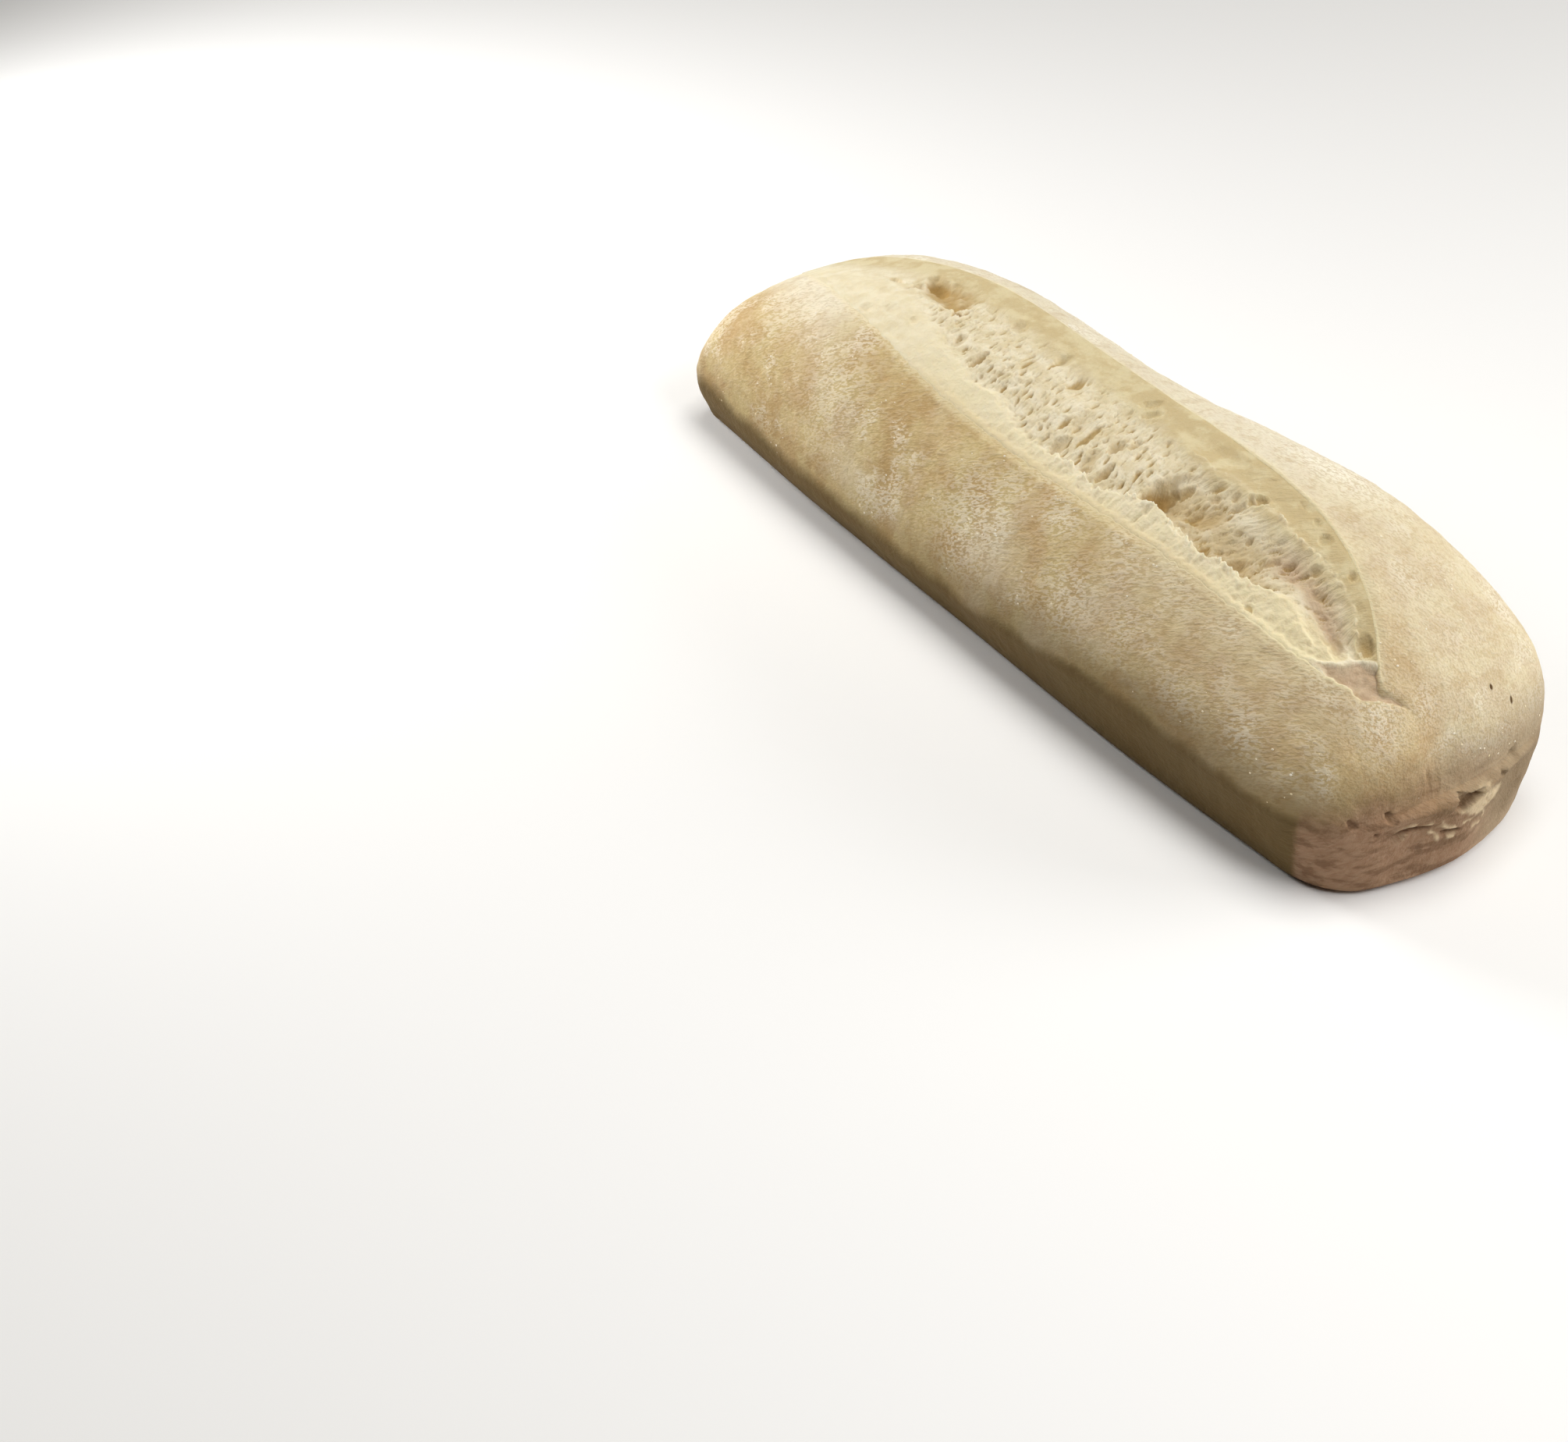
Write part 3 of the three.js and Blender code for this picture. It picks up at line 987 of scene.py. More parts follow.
# Each hollow's x, y, half length along and across, depth, and where they are given, lean and crispness.
HOLLOWS = tuple(Hollow(*sizes) for sizes in (
    (-46.5, 0.2, 9.5, 5.2, 1.8, -0.4, 1.5), (-51, 2.4, 4.4, 2.6, 1.5, -0.4, 1.3),
    (-40.5, 2.6, 4, 2.4, 0.6, -0.3, 1.0), (-41, -1.6, 3.6, 2.2, 0.8, -0.3, 1.0), (-38, -3.6, 1.5, 1.1, 1.7),
    (-44, 4.4, 6, 3.0, 0.8, -0.3, 1.0), (-58.5, -2.9, 2.8, 1.4, 1.0), (-53.5, -1.3, 1.6, 1.2, 0.7),
    (-62.3, -10.9, 2.4, 1.5, 0.45, 0, 1.0), (-48.3, -12.3, 3, 1.5, 0.5, 0, 1.0),
    (-41, -11.7, 1.4, 1.2, 0.5, 0, 1.0), (-53.4, -14.3, 1.8, 1.3, 0.4, 0, 1.0),
    (-55, -8, 2.6, 1.6, 0.4, 0, 1.0), (-30, -9.5, 1.6, 2.6, 0.9, CELL_LEAN, 1.0),
    (-22.5, -10.2, 0.9, 2.9, 1.5, CELL_LEAN), (-12, 2.4, 1.8, 2.6, 0.8, CELL_LEAN, 1.0),
    (-26, 3, 2, 2.6, 0.7, CELL_LEAN, 1.0), (6.8, -14.6, 1.6, 2.9, 1.0, CELL_LEAN),
    (6.6, -16.7, 0.8, 0.9, 1.0), (14.2, -13.4, 1.6, 3.0, 0.9, CELL_LEAN, 0.7),
    (15.6, -15.6, 1.2, 1.1, 0.8, CELL_LEAN), (19.2, -14.2, 1.0, 2.6, 1.4, CELL_LEAN),
    (15.4, -8.7, 1.2, 2.4, 1.1, CELL_LEAN), (17.4, -5.8, 0.9, 1.8, 1.0, CELL_LEAN),
    (5.5, -7.9, 3.4, 3.2, 0.7, -0.5, 1.0), (10, 4.6, 1.3, 2.2, 0.7, 0.4), (12.6, 2.2, 1.2, 2, 0.8, 0.4),
    (30.6, -12, 1.7, 4.2, 1.6, 0.25), (33.4, -7.6, 1.1, 1.5, 1.2, 0.2), (40.5, -9.2, 3.2, 3, 1.1, 0.3, 0.8),
    (45.4, -2.6, 1.8, 1.5, 1.5, 0.3), (43.6, -5.2, 1.1, 1.6, 1.0, 0.3, 0.8), (38.5, -5.8, 0.9, 1.2, 0.9),
    (41.5, -4, 0.8, 1, 0.9), (51.5, -13, 1.4, 1.8, 0.9, 0.5), (50, -8.6, 0.7, 0.9, 0.9),
    (56, -9.6, 0.9, 2, 1.0, 0.5), (59, -7.6, 0.7, 1.2, 0.7, 0.4, 0.8), (61, -9.4, 0.7, 1.2, 0.7, 0.4, 0.8),
    (63.2, -6.2, 1.2, 0.8, 1.1, 0.4, 0.8), (66.6, -8.4, 1.9, 0.9, 0.8, 0.3, 1.0),
    (72, -14.6, 4, 1.9, 0.6, -0.6, 1.0), (75.8, -13.4, 2.8, 1.9, 1.0, -0.4, 0.8),
    (79.3, -9.8, 1.9, 1.5, 1.3, -0.4, 0.6), (33.5, 2.6, 4.6, 1.8, 0.45, 0, 1.0),
    (52.1, 2.4, 1.8, 1, 0.5, -0.3), (56.1, 0.8, 1.0, 0.8, 0.5), (59.8, -1, 1.5, 1.4, 0.7),
    (68.5, -3, 0.9, 1.0, 0.8), (73.5, -6.6, 1.4, 1.0, 0.3, 0, 1.0), (61.6, -19.4, 0.8, 0.8, 1.0),
))


# The crust


@dataclass
class RollCrust:
    """The whole outside of the roll, with a plain bed under the torn crumb."""

    form: DoughForm
    finish: FlouryCrust = field(default_factory=FlouryCrust)
    body_rows: int = 380
    near_rows: int = 36
    far_rows: int = 24
    near_face_rows: int = 40
    far_face_rows: int = 10
    base_columns: int = 8
    undercut_columns: int = 9
    round_columns: int = 4
    flank_columns: int = 56
    bed_columns: int = 22
    base_round: float = 1.8
    lip_width: float = 1.7
    lips_above: float = 24
    swelling: float = 0.45
    ripple: float = 0.16
    fine_relief: float = 0.09
    lip_bead: float = 0.28
    rim_crumbs: float = 0.5
    end_dent: float = 0.9

    def stations(self) -> np.ndarray:
        """Gives x of every row, from the start of the near end's face to the far one's.

        Returns:
            The rows, shaped (rows, 1).
        """
        half = self.form.length / 2
        near, far = End.NEAR.value, End.FAR.value
        quarter = np.linspace(math.pi / 2, 0, self.near_rows, endpoint=False)
        near_part = half - near.corner * (1 - np.sin(quarter))
        body = np.linspace(half - near.corner, far.corner - half, self.body_rows)
        quarter = np.linspace(0, math.pi / 2, self.far_rows + 1)[1:]
        far_part = far.corner * (1 - np.sin(quarter)) - half
        return np.concatenate((near_part, body, far_part))[:, None]

    def outline(self, x: np.ndarray) -> tuple[np.ndarray, np.ndarray]:
        """Traces every section from the middle of the base, up the right flank and back down the left.

        Args:
            x: the rows, shaped (rows, 1).

        Returns:
            y and z of the outline's points, each shaped (rows, columns).
        """
        form = self.form
        crease = form.crease_height(x)
        left, right = form.lips(x)
        middle = (left + right) / 2
        half_band = np.maximum(right - left, form.least_band) / 2
        rounding = 3.2 - 2.4 * ease(-60, 30, x)

        def side(sign: int, lip_angle: np.ndarray) -> list[tuple[np.ndarray, np.ndarray]]:
            """Gives one side's stretches, from the middle of the base to the lip.

            Args:
                sign: 1 for the right side, -1 for the left.
                lip_angle: the dome's angle at the lip.

            Returns:
                y and z of each stretch.
            """
            width, _ = form.flank(x, np.full_like(x, float(sign)))
            foot = width - form.base_inset
            slope = form.base_inset / crease
            turn = 0.5 * rounding / (form.top(x) - crease + 8)
            first = (0.0 if sign > 0 else math.pi) + sign * turn * 1.6
            flank_y = form.across_at(x, first)
            flank_z = form.dome(x, flank_y)
            out = np.linspace(0, 1, self.base_columns, endpoint=False)
            base = (sign * (foot - self.base_round) * out, out * 0 * x)
            t = np.linspace(0, 1, self.round_columns, endpoint=False)
            corner_y = foot + t * t * self.base_round * slope - (1 - t) ** 2 * self.base_round
            corner = (sign * corner_y, t * t * self.base_round + 0 * x)
            t = np.linspace(0, 1, self.undercut_columns, endpoint=False)
            high = crease - rounding
            rise = self.base_round + (high - self.base_round) * t
            wall = (sign * (foot + slope * rise), rise)
            t = np.linspace(0, 1, self.round_columns, endpoint=False)
            y0, z0 = sign * (foot + slope * high), high
            y1, z1 = sign * width, crease
            turn_y = (1 - t) ** 2 * y0 + 2 * t * (1 - t) * y1 + t * t * flank_y
            turn_z = (1 - t) ** 2 * z0 + 2 * t * (1 - t) * z1 + t * t * flank_z
            t = np.linspace(0, 1, self.flank_columns, endpoint=False)
            flank = form.across_at(x, first + (lip_angle - first) * t)
            return [base, corner, wall, (turn_y, turn_z), (flank, form.dome(x, flank))]

        right_side = side(1, form.angle(x, middle + half_band))
        left_side = side(-1, form.angle(x, middle - half_band))
        t = 0.5 - 0.5 * np.cos(np.linspace(0, math.pi, self.bed_columns, endpoint=False))
        bed_y = middle + half_band * (1 - 2 * t)
        lip_y = middle - half_band
        stretches = [*right_side, *((y, form.dome(x, y) - self.bed(x, y)) for y in (bed_y, lip_y))]
        stretches += [(y[:, ::-1], z[:, ::-1]) for y, z in reversed(left_side)]
        y, z = (
            np.concatenate([np.broadcast_to(part, (len(x), part.shape[-1])) for part in parts], axis=1)
            for parts in zip(*stretches)
        )
        return y[:, :-1], z[:, :-1]

    def bed(self, x: np.ndarray, y: np.ndarray) -> np.ndarray:
        """Gives the depth of the plain bed that the torn crumb lies in."""
        return self.form.trough_depth(x, y, self.lip_width)

    def end_relief(self, places: np.ndarray) -> tuple[np.ndarray, np.ndarray]:
        """Works out the crack, the pits and the torn skin of the near end's face.

        Args:
            places: the crust's vertices.

        Returns:
            How far each vertex sinks into the end, and how torn it is, from 0 to 1.
        """
        x, y, z = places.T
        face = ease(88, 93, x) * ease(24, 20, z)
        rough = value_noise(np.stack((y / 1.4, z / 1.4), axis=-1), 9, 2)
        away = distance_to_trail(y + 0.5 * rough, z, END_CRACK)
        open_here = ease(-0.5, 0.4, value_noise(np.stack((y / 2.8, z / 2.8), axis=-1), 10, 1))
        crack = bell(away, 0.5) * open_here
        fringe = bell(away - 1.1, 0.5)
        sink = 1.0 * crack - 0.25 * fringe * ease(0, 1, rough + 0.6)
        tear = np.hypot((y - 4.4) / 7.0, (z - 13.0 + 0.3 * (y - 4.4)) / 3.2) + 0.22 * rough
        bowl = np.clip(1 - tear**2, 0, 1)
        hole = np.hypot((y + 1.2 - 1.2 * ease(-2, 2, y)) / 2.6, (z - 15.3) / 1.6) + 0.2 * rough
        sink += 2.2 * np.clip(1 - hole**2, 0, 1) ** 0.6
        sink -= 0.6 * bowl * ease(0, 3, y) * (0.6 + 1.2 * rough)
        for pit_y, pit_z, size, depth in END_PITS:
            reach = np.hypot(y - pit_y, z - pit_z) / size
            sink += depth * np.clip(1 - reach**2, 0, 1) ** 0.5 - 0.12 * bell(reach - 1.15, 0.2)
        frayed = fringe * ease(-0.2, 0.4, rough) * ease(-16, -10, y)
        torn = np.clip(frayed + ease(1.1, 0.7, tear) * ease(0, 0.5, hole - 0.7), 0, 1)
        return sink * face, torn * face

    def build(self) -> bpy.types.Object:
        """Builds the crust's mesh.

        Returns:
            The crust, before its relief.
        """
        x = self.stations()
        y, z = self.outline(x)
        rows = self.form.place(x, y, z)
        ends = []
        for end, edge, count in (
            (End.NEAR.value, rows[0], self.near_face_rows),
            (End.FAR.value, rows[-1], self.far_face_rows),
        ):
            middle = np.array((end.side * self.form.length / 2, 0.0, end.rim / 2))
            share = (np.arange(1, count) / count)[:, None, None]
            ends.append((edge[None] * (1 - share) + middle * share, middle))
        (near_rows, near_middle), (far_rows, far_middle) = ends
        rows = np.concatenate((near_rows[::-1], rows, far_rows))
        return closed_loft("crust_skin", rows, near_middle, far_middle)

    def unevenness(self, places: np.ndarray, inside: np.ndarray, bare: np.ndarray) -> np.ndarray:
        """Works out the swelling, fine relief, rolled lip, crumbs and dent of the skin.

        Args:
            places: the crust's vertices.
            inside: how far each is inside the slash's lips.
            bare: how free each is of base and slash, from 0 to 1.

        Returns:
            How far each vertex moves outwards.
        """
        x, y, z = places.T
        push = self.swelling * value_noise(places / 26, 21, 2) + self.ripple * value_noise(places / 7, 22, 2)
        push += self.fine_relief * value_noise(places / np.array((1.6, 2.2, 2.2)), 23, 3)
        on_left_lip = (z > self.lips_above) * (y < 0) * ease(-70, -45, x) * ease(82, 74, x)
        push += self.lip_bead * bell(inside + 0.55, 0.6) * on_left_lip
        push *= bare
        rim = distance_to_trail(y, z, END_RIM)
        crumbs = np.clip(value_noise(places / 0.9, 24, 2), 0, 1) * bell(rim, 1.6) * ease(88, 92, x)
        dent = np.exp(-(((x - 94.5) / 3.2) ** 2 + ((y + 4) / 5) ** 2)) * (z > 20)
        return push + self.rim_crumbs * crumbs - self.end_dent * dent

    def end_share(self, places: np.ndarray) -> np.ndarray:
        """Finds the wiped skin of the near end's face, and the painted shade that goes with it.

        Args:
            places: the crust's vertices.

        Returns:
            How much of that skin each vertex has, from 0 to 1.
        """
        x, y, z = places.T
        up = z + 2.5 * value_noise(places / 6, 25, 3)
        face = ease(-0.6, 0.8, x - 85 - 0.28 * (np.abs(y) - 17)) * ease(84, 86, x)
        over_brim = up - np.interp(y, (-28, -20, -8, 14), (15.5, 19.5, 22, 22))
        # Painted shade: the skin's darker colour reaches up to 7 mm above the brim as a shadow band, and is
        # stronger low on the left of the face.
        face *= 0.62 * ease(4, -2.5, over_brim) + 0.38 * ease(7, -1, over_brim)
        return face * (0.45 + 0.55 * ease(20, 6, up + 0.45 * (y + 6)))

    def roughen(self, skin: bpy.types.Object) -> None:
        """Gives the skin its unevenness, its end face's marks and what its finish reads.

        Args:
            skin: the crust, as build gives it.
        """
        places = vertex_places(skin)
        x, y, z = places.T
        left, right = self.form.lips(x)
        inside = np.minimum(y - left, right - y)
        on_top = (z > self.lips_above).astype(float)
        slash = ease(-1.2, 0.2, inside) * on_top * ease(92, 91, x) * ease(-90, -89, x)
        bare = ease(0.3, 4, z) * (1 - slash)
        sink, torn = self.end_relief(places)
        moved = places + vertex_normals(skin) * self.unevenness(places, inside, bare)[:, None]
        half = self.form.length / 2
        moved[:, 0] = np.clip(moved[:, 0] - sink, -half, half)
        moved[:, 2] = np.maximum(moved[:, 2], 0)
        move_vertices(skin, moved)
        above_crease = z - self.form.crease_height(x)
        # A pale lip line, widened beside the near half of the left lip as painted highlight.
        lip_line_and_highlight = ease(-1.2, -0.3, inside) + 0.6 * ease(-5, -1, inside) * ease(20, 60, x)
        far_pale = 0.85 * ease(-40, -66, x) * ease(-13, -2, inside)
        # Painted highlight: the shoulder beside the near half of the left lip is painted paler, where light
        # catches the curled lip.
        near_pale = 0.2 * ease(-16, -2, inside) * ease(15, 55, x) * (y < 0) * (x < 93)
        dusting = np.zeros(len(places))
        for dust_x, dust_y, reach_x, reach_y, amount in DUSTINGS:
            off = ((x - dust_x) / reach_x) ** 2 + ((y - dust_y) / reach_y) ** 2
            dusting = np.maximum(dusting, amount * np.exp(-off))
        for name, values in {
            "torn_end": torn,
            "end_face_and_shading": self.end_share(places),
            "lip_line_and_highlight": np.clip(lip_line_and_highlight, 0, 1) * on_top * ease(6, -6, y) * ease(86, 78, x),
            # Painted highlight on the cut walls at the lips, which lie in shade.
            "cut_wall_highlight": ease(-0.2, 0.3, inside) * on_top * ease(90, 80, x) * ease(-82, -70, x),
            "dusting": dusting * (z > 12),
            "pale": np.maximum(far_pale, near_pale) * (z > 18),
            "above_crease": above_crease,
            "floured": bare * ease(1, 6, above_crease),
        }.items():
            mark(skin, name, values)

    def dress(self, piece: bpy.types.Object) -> None:
        """Gives the crust its finish."""
        piece.data.materials.clear()
        piece.data.materials.append(self.finish.make())


# The torn crumb


@dataclass
class TornCrumb:
    """Everything between the slash's lips: strip, torn edge, cells, ridge and cut band."""

    form: DoughForm
    finish: OpenCrumb = field(default_factory=OpenCrumb)
    rows: int = 660
    columns: int = 126
    under_columns: int = 5
    tuck_width: float = 0.9
    strip_stations: tuple = (-88, -60, -45, -30, -20, -8, 2, 14, 24, 31, 38, 47, 56, 63, 70, 80, 92)
    strip_width: tuple = (4, 10, 10, 7, 5.8, 5.6, 4.5, 4.2, 3.8, 4.8, 5.2, 4.4, 4.4, 6.2, 6.4, 4, 1)
    band_stations: tuple = (-88, -60, -30, 0, 20, 33, 39, 47, 57, 62, 68, 74, 80, 84, 92)
    band_width: tuple = (3, 4, 4.6, 5.2, 6.5, 8.6, 7.5, 7.5, 6.2, 5.4, 4.8, 4.4, 3.2, 1, 0.5)
    floor_stations: tuple = (-88, -70, -45, -20, 0, 20, 30, 45, 60, 66, 74, 80, 92)
    floor_depth: tuple = (0.3, 0.6, 0.9, 1.1, 1.5, 1.7, 1.6, 1.6, 1.6, 1.4, 1.2, 1.0, 0.6)
    floor_sag: tuple = (0.2, 0.4, 0.5, 0.6, 0.7, 0.6, 0.5, 0.5, 0.6, 0.6, 0.5, 0.3, 0)
    edge_stations: tuple = (-88, -30, -8, 8, 58, 65, 92)
    edge_width: tuple = (7, 5, 3, 1.0, 0.9, 4, 3)
    wall_stations: tuple = (-88, -20, 10, 30, 40, 76, 84)
    wall_width: tuple = (7, 7, 6, 3.4, 3.2, 1.8, 1.6)
    bowl_depth: float = 3.1
    cell_along: float = 1.3
    cell_across: float = 3.3
    cell_depth: float = 0.68
    hole_depth: float = 0.75
    hole_share: float = 0.12
    pore_depth: float = 0.4
    fibre_height: float = 0.35

    def profile(self, x: np.ndarray, y: np.ndarray) -> dict[str, np.ndarray]:
        """Works out the depth below the dome and which part of the slash each point is on.

        Args:
            x: places along the roll.
            y: places across the roll.

        Returns:
            The depth, the masks that the finish reads, and the lean of the crumb's fibres.
        """
        left, right = self.form.lips(x)
        x, y = np.broadcast_arrays(x, y)
        flat = np.stack((x, y), axis=-1)

        def rough(size: float | tuple, seed: int, octaves: int) -> np.ndarray:
            """Gives noise with lumps of a size in millimetres, or of one along and one across."""
            return value_noise(flat / np.array(size), seed, octaves)

        inside = np.minimum(y - left, right - y)
        within = ease(0.3, 1.9 - 0.9 * ease(76, 84, x), inside)
        # Where the strip ends and the band begins, and the tip, the bowl and the trench between them.
        jag = 0.4 * rough(1.3, 31, 3) + 0.7 * rough(4.2, 43, 2)
        jag += 0.5 * rough(10, 32, 1)
        past_strip = y - left - along_stations(x, self.strip_stations, self.strip_width) - jag
        short_of_ridge = right - along_stations(x, self.band_stations, self.band_width) - y
        short_of_ridge += 0.6 * rough(3.4, 33, 3) + 0.5 * rough(9, 44, 1)
        edge = along_stations(x, self.edge_stations, self.edge_width)
        wall = along_stations(x, self.wall_stations, self.wall_width)
        off_strip = ease(0, 1, past_strip / edge + 0.3)
        off_band = ease(0, 1, short_of_ridge / wall)
        past_membrane = x - np.interp(y, *zip(*MEMBRANE))
        tip = ease(0, 0.9, past_membrane + 0.5 * jag)
        wall_bend = 28.4 + 0.03 * np.clip(y + 9.5, 0, 12) ** 3 + 0.8 * rough(3.5, 37, 2)
        bowl = ease(0, 2.6, x - wall_bend) * ease(69, 50, x)
        bowl_face = bell(x - wall_bend - 1.5, 1.5)
        trench = bell(short_of_ridge - 3.4, 2.3) * ease(52, 60, x) * ease(79, 73, x)
        # The floor of torn crumb, deepest beside the strip.
        across = np.clip((y - left) / np.maximum(right - left, 1), 0, 1)
        floor = along_stations(x, self.floor_stations, self.floor_depth)
        floor = floor + along_stations(x, self.floor_stations, self.floor_sag) * 4 * across * (1 - across)
        share = np.clip(past_strip / np.maximum(past_strip + short_of_ridge, 2), 0, 1)
        lopsided = ease(-0.05, 0.2, share) * (1 - 0.85 * ease(0.22, 0.95, share))
        lopsided += 0.25 * ease(36, 31, x) * ease(0.1, 0.3, share) * ease(0.75, 0.5, share)
        scoop = bowl * lopsided * (self.bowl_depth + 0.8 * rough(3.5, 38, 3))
        floor = floor + 0.35 * rough((6.5, 8), 34, 2) + scoop + 1.5 * trench
        # The strip, the band and the tip.
        strip_depth = along_stations(x, (-88, -45, 0, 30, 60, 78, 92), (0.3, 0.5, 0.8, 1.0, 0.9, 0.7, 0.5))
        fluff = 0.2 * rough((0.9, 1.3), 46, 2) * ease(0.4, 1.5, y - left)
        strip_depth = fluff * ease(-25, 0, x) + strip_depth * ease(0, 2.2, y - left)
        strip_depth += 0.2 * rough((5, 2), 35, 3)
        band_depth = along_stations(x, (-88, -45, 0, 40, 80, 92), (0.4, 0.8, 1.0, 1.1, 1.0, 0.5))
        band_depth = band_depth * ease(0, 6, right - y) + 0.12 * rough(6, 36, 2)
        depth = strip_depth * (1 - off_strip) + off_strip * (floor * off_band + band_depth * (1 - off_band))
        tip_depth = 0.75 + 0.5 * rough((1.8, 3), 39, 3)
        depth = depth * (1 - tip) + tip * tip_depth
        # Torn ends stand up along the edges, and the placed hollows go in.
        spikes = np.clip(0.9 * rough(2.0, 45, 2) + 0.9 * rough(0.8, 40, 2), 0, 1)
        torn_line = bell(past_strip + 0.3, 0.7) * ease(2, 12, x) * ease(64, 54, x)
        ridge_line = bell(short_of_ridge + 0.15, 0.5) * ease(24, 38, x) * (1 - tip)
        membrane = bell(past_membrane + 0.4 * jag, 0.5) * ease(-20, -16.5, y)
        depth = depth - 0.9 * spikes * torn_line - 0.7 * spikes * ridge_line - 0.45 * membrane
        hollow = sum(item.cut(x, y) for item in HOLLOWS)
        # The slab's edges and ends are buried in the crust.
        buried = 3 * ease(88.6, 90.4, x) + 1.5 * ease(-86.6, -88.2, x)
        on_right = ease(-2, 2, y - (left + right) / 2)
        step = 0.4 * ease(20, 40, x) * on_right + 0.15 * ease(0, 30, x) * (1 - on_right) - 0.05
        far_fade = 0.15 + 0.85 * ease(-87, -70, x)
        depth = step + 1.1 * np.maximum(0.2 - inside, 0) + within * far_fade * (depth + hollow) + buried
        # How open the crumb is: closed under the strip, the band, the tip and the far end.
        open_crumb = off_strip + 0.3 * (1 - off_strip) * ease(0, 20, x)
        open_crumb *= (off_band + 0.15 * (1 - off_band)) * ease(-62, -34, x + 0.8 * y + 8)
        open_crumb *= (1 - 0.4 * tip) * (1 - 0.45 * ease(60, 66, x) * (1 - trench))
        open_crumb *= 1 - 0.75 * ease(0.3, 1.3, hollow)
        return {
            "depth": depth,
            # The hollow mark is the hollows' depth, plus painted shade on the bowl's far wall.
            "hollow": np.clip(hollow + 0.8 * bowl_face * off_strip * off_band, 0, 3) * within,
            "crumb": np.clip(open_crumb, 0, 1) * ease(0.2, 1.4, inside),
            "strip": (1 - off_strip) * (1 - tip) * (0.35 + 0.65 * ease(-50, -20, x)),
            "band": (1 - off_band) * off_strip * (1 - tip),
            # Painted shade under the left lip's edge.
            "lip_shade": 0.4 * ease(3.2, 0.4, y - left) * ease(-45, -20, x) * ease(66, 50, x),
            "ragged": np.maximum(tip * within, trench * off_band * 0.9),
            "bright_edge": np.clip((torn_line + ridge_line * 0.7) * (0.25 + 0.75 * spikes) + membrane, 0, 1),
            # Painted shade: the deeper the crumb sits below the dome, the darker it is painted.
            "deep_shade": ease(1.8, 6.5, depth) * off_strip * (1 - tip),
            "near_half": ease(-15, 15, x),
            "lean": CELL_LEAN + (0.5 + 0.3 * ease(6, 0, short_of_ridge)) * ease(24, 44, x),
        }

    def build(self) -> bpy.types.Object:
        """Builds the slab of crumb, before its cells.

        Returns:
            The slab, with its masks stored on its vertices.
        """
        form = self.form
        x = np.linspace(90.4, -88.2, self.rows)[:, None]
        left, right = form.lips(x)
        start, stop = right + self.tuck_width, left - self.tuck_width
        t = np.linspace(0, 1, self.columns)
        y = start + (stop - start) * t
        parts = self.profile(x, y)
        z = form.dome(x, y) - parts["depth"]
        t = np.linspace(0, 1, self.under_columns + 2)[1:-1]
        under_y = stop + (start - stop) * t
        under_z = form.dome(x, under_y) - along_stations(x, form.trough_stations, form.trough) + 0.8
        rows = form.place(x, np.concatenate((y, under_y), axis=1), np.concatenate((z, under_z), axis=1))
        first, last = rows[0].mean(axis=0), rows[-1].mean(axis=0)
        slab = closed_loft("crumb_slab", rows, first, last)

        def spread(values: np.ndarray) -> np.ndarray:
            """Pads a mask with zeros under the slab and at its two end points.

            Args:
                values: the mask over the slab's upper face.

            Returns:
                One number for each vertex of the slab.
            """
            whole = np.zeros((self.rows, self.columns + self.under_columns))
            whole[:, : self.columns] = values
            return np.concatenate((whole.ravel(), (0, 0)))

        for name in ("hollow", "crumb", "strip", "band", "lip_shade", "ragged", "bright_edge", "deep_shade"):
            mark(slab, name, spread(parts[name]))
        flat = np.stack(np.broadcast_arrays(x, y), axis=-1)
        warp = value_noise(flat / 7, 41, 2), value_noise(flat / 7, 42, 2)
        along = x - parts["lean"] * (y + 8) + 0.9 * warp[0]
        across = y + 1.4 * warp[1]
        slab_place = np.stack((
            spread(along / (self.cell_along - 0.2 * parts["near_half"])),
            spread(across / (self.cell_across - 0.3 * parts["near_half"])),
            spread(parts["near_half"]),
        ), axis=-1)
        mark(slab, "cell_place", slab_place)
        rise = 0.2
        step_x = form.dome(x + rise, y) - form.dome(x - rise, y)
        step_y = form.dome(x, y + rise) - form.dome(x, y - rise)
        outward = np.stack((spread(-step_x), spread(-step_y), spread(0 * step_y + 2 * rise)), axis=-1)
        size = np.linalg.norm(outward, axis=1, keepdims=True)
        mark(slab, "outward", outward / np.maximum(size, 1e-9))
        return slab

    def cell_tree(self) -> bpy.types.NodeTree:
        """Builds the tree that presses the crumb's cells, pores and fibres into the slab.

        Returns:
            The tree.
        """
        tree = new_geometry_tree("crumb_cells", {
            "Cell Depth": ("NodeSocketFloat", 0.001),
            "Hole Depth": ("NodeSocketFloat", 0.001),
            "Hole Share": ("NodeSocketFloat", 0.1),
            "Pore Depth": ("NodeSocketFloat", 0.0003),
            "Fibre Height": ("NodeSocketFloat", 0.0003),
            "Finish": ("NodeSocketMaterial", None),
        })
        wire = partial(add_node, tree)
        inputs = tree.nodes["Input"].outputs
        place = wire(Node.STORED, "cell_place", data_type="FLOAT_VECTOR")

        def cells(scale: float, feature: str = "F1") -> bpy.types.NodeSocket:
            """Adds a pattern of cells over the slab and gives the distance from their middles or walls."""
            return wire(Node.CELLS, place, scale, 0.95, voronoi_dimensions="2D", feature=feature)

        def lot(distance: bpy.types.NodeSocket, axis: str = "X") -> bpy.types.NodeSocket:
            """Gives each cell of a pattern its own random number."""
            return wire(Node.AXES, distance.node.outputs["Color"]).node.outputs[axis]

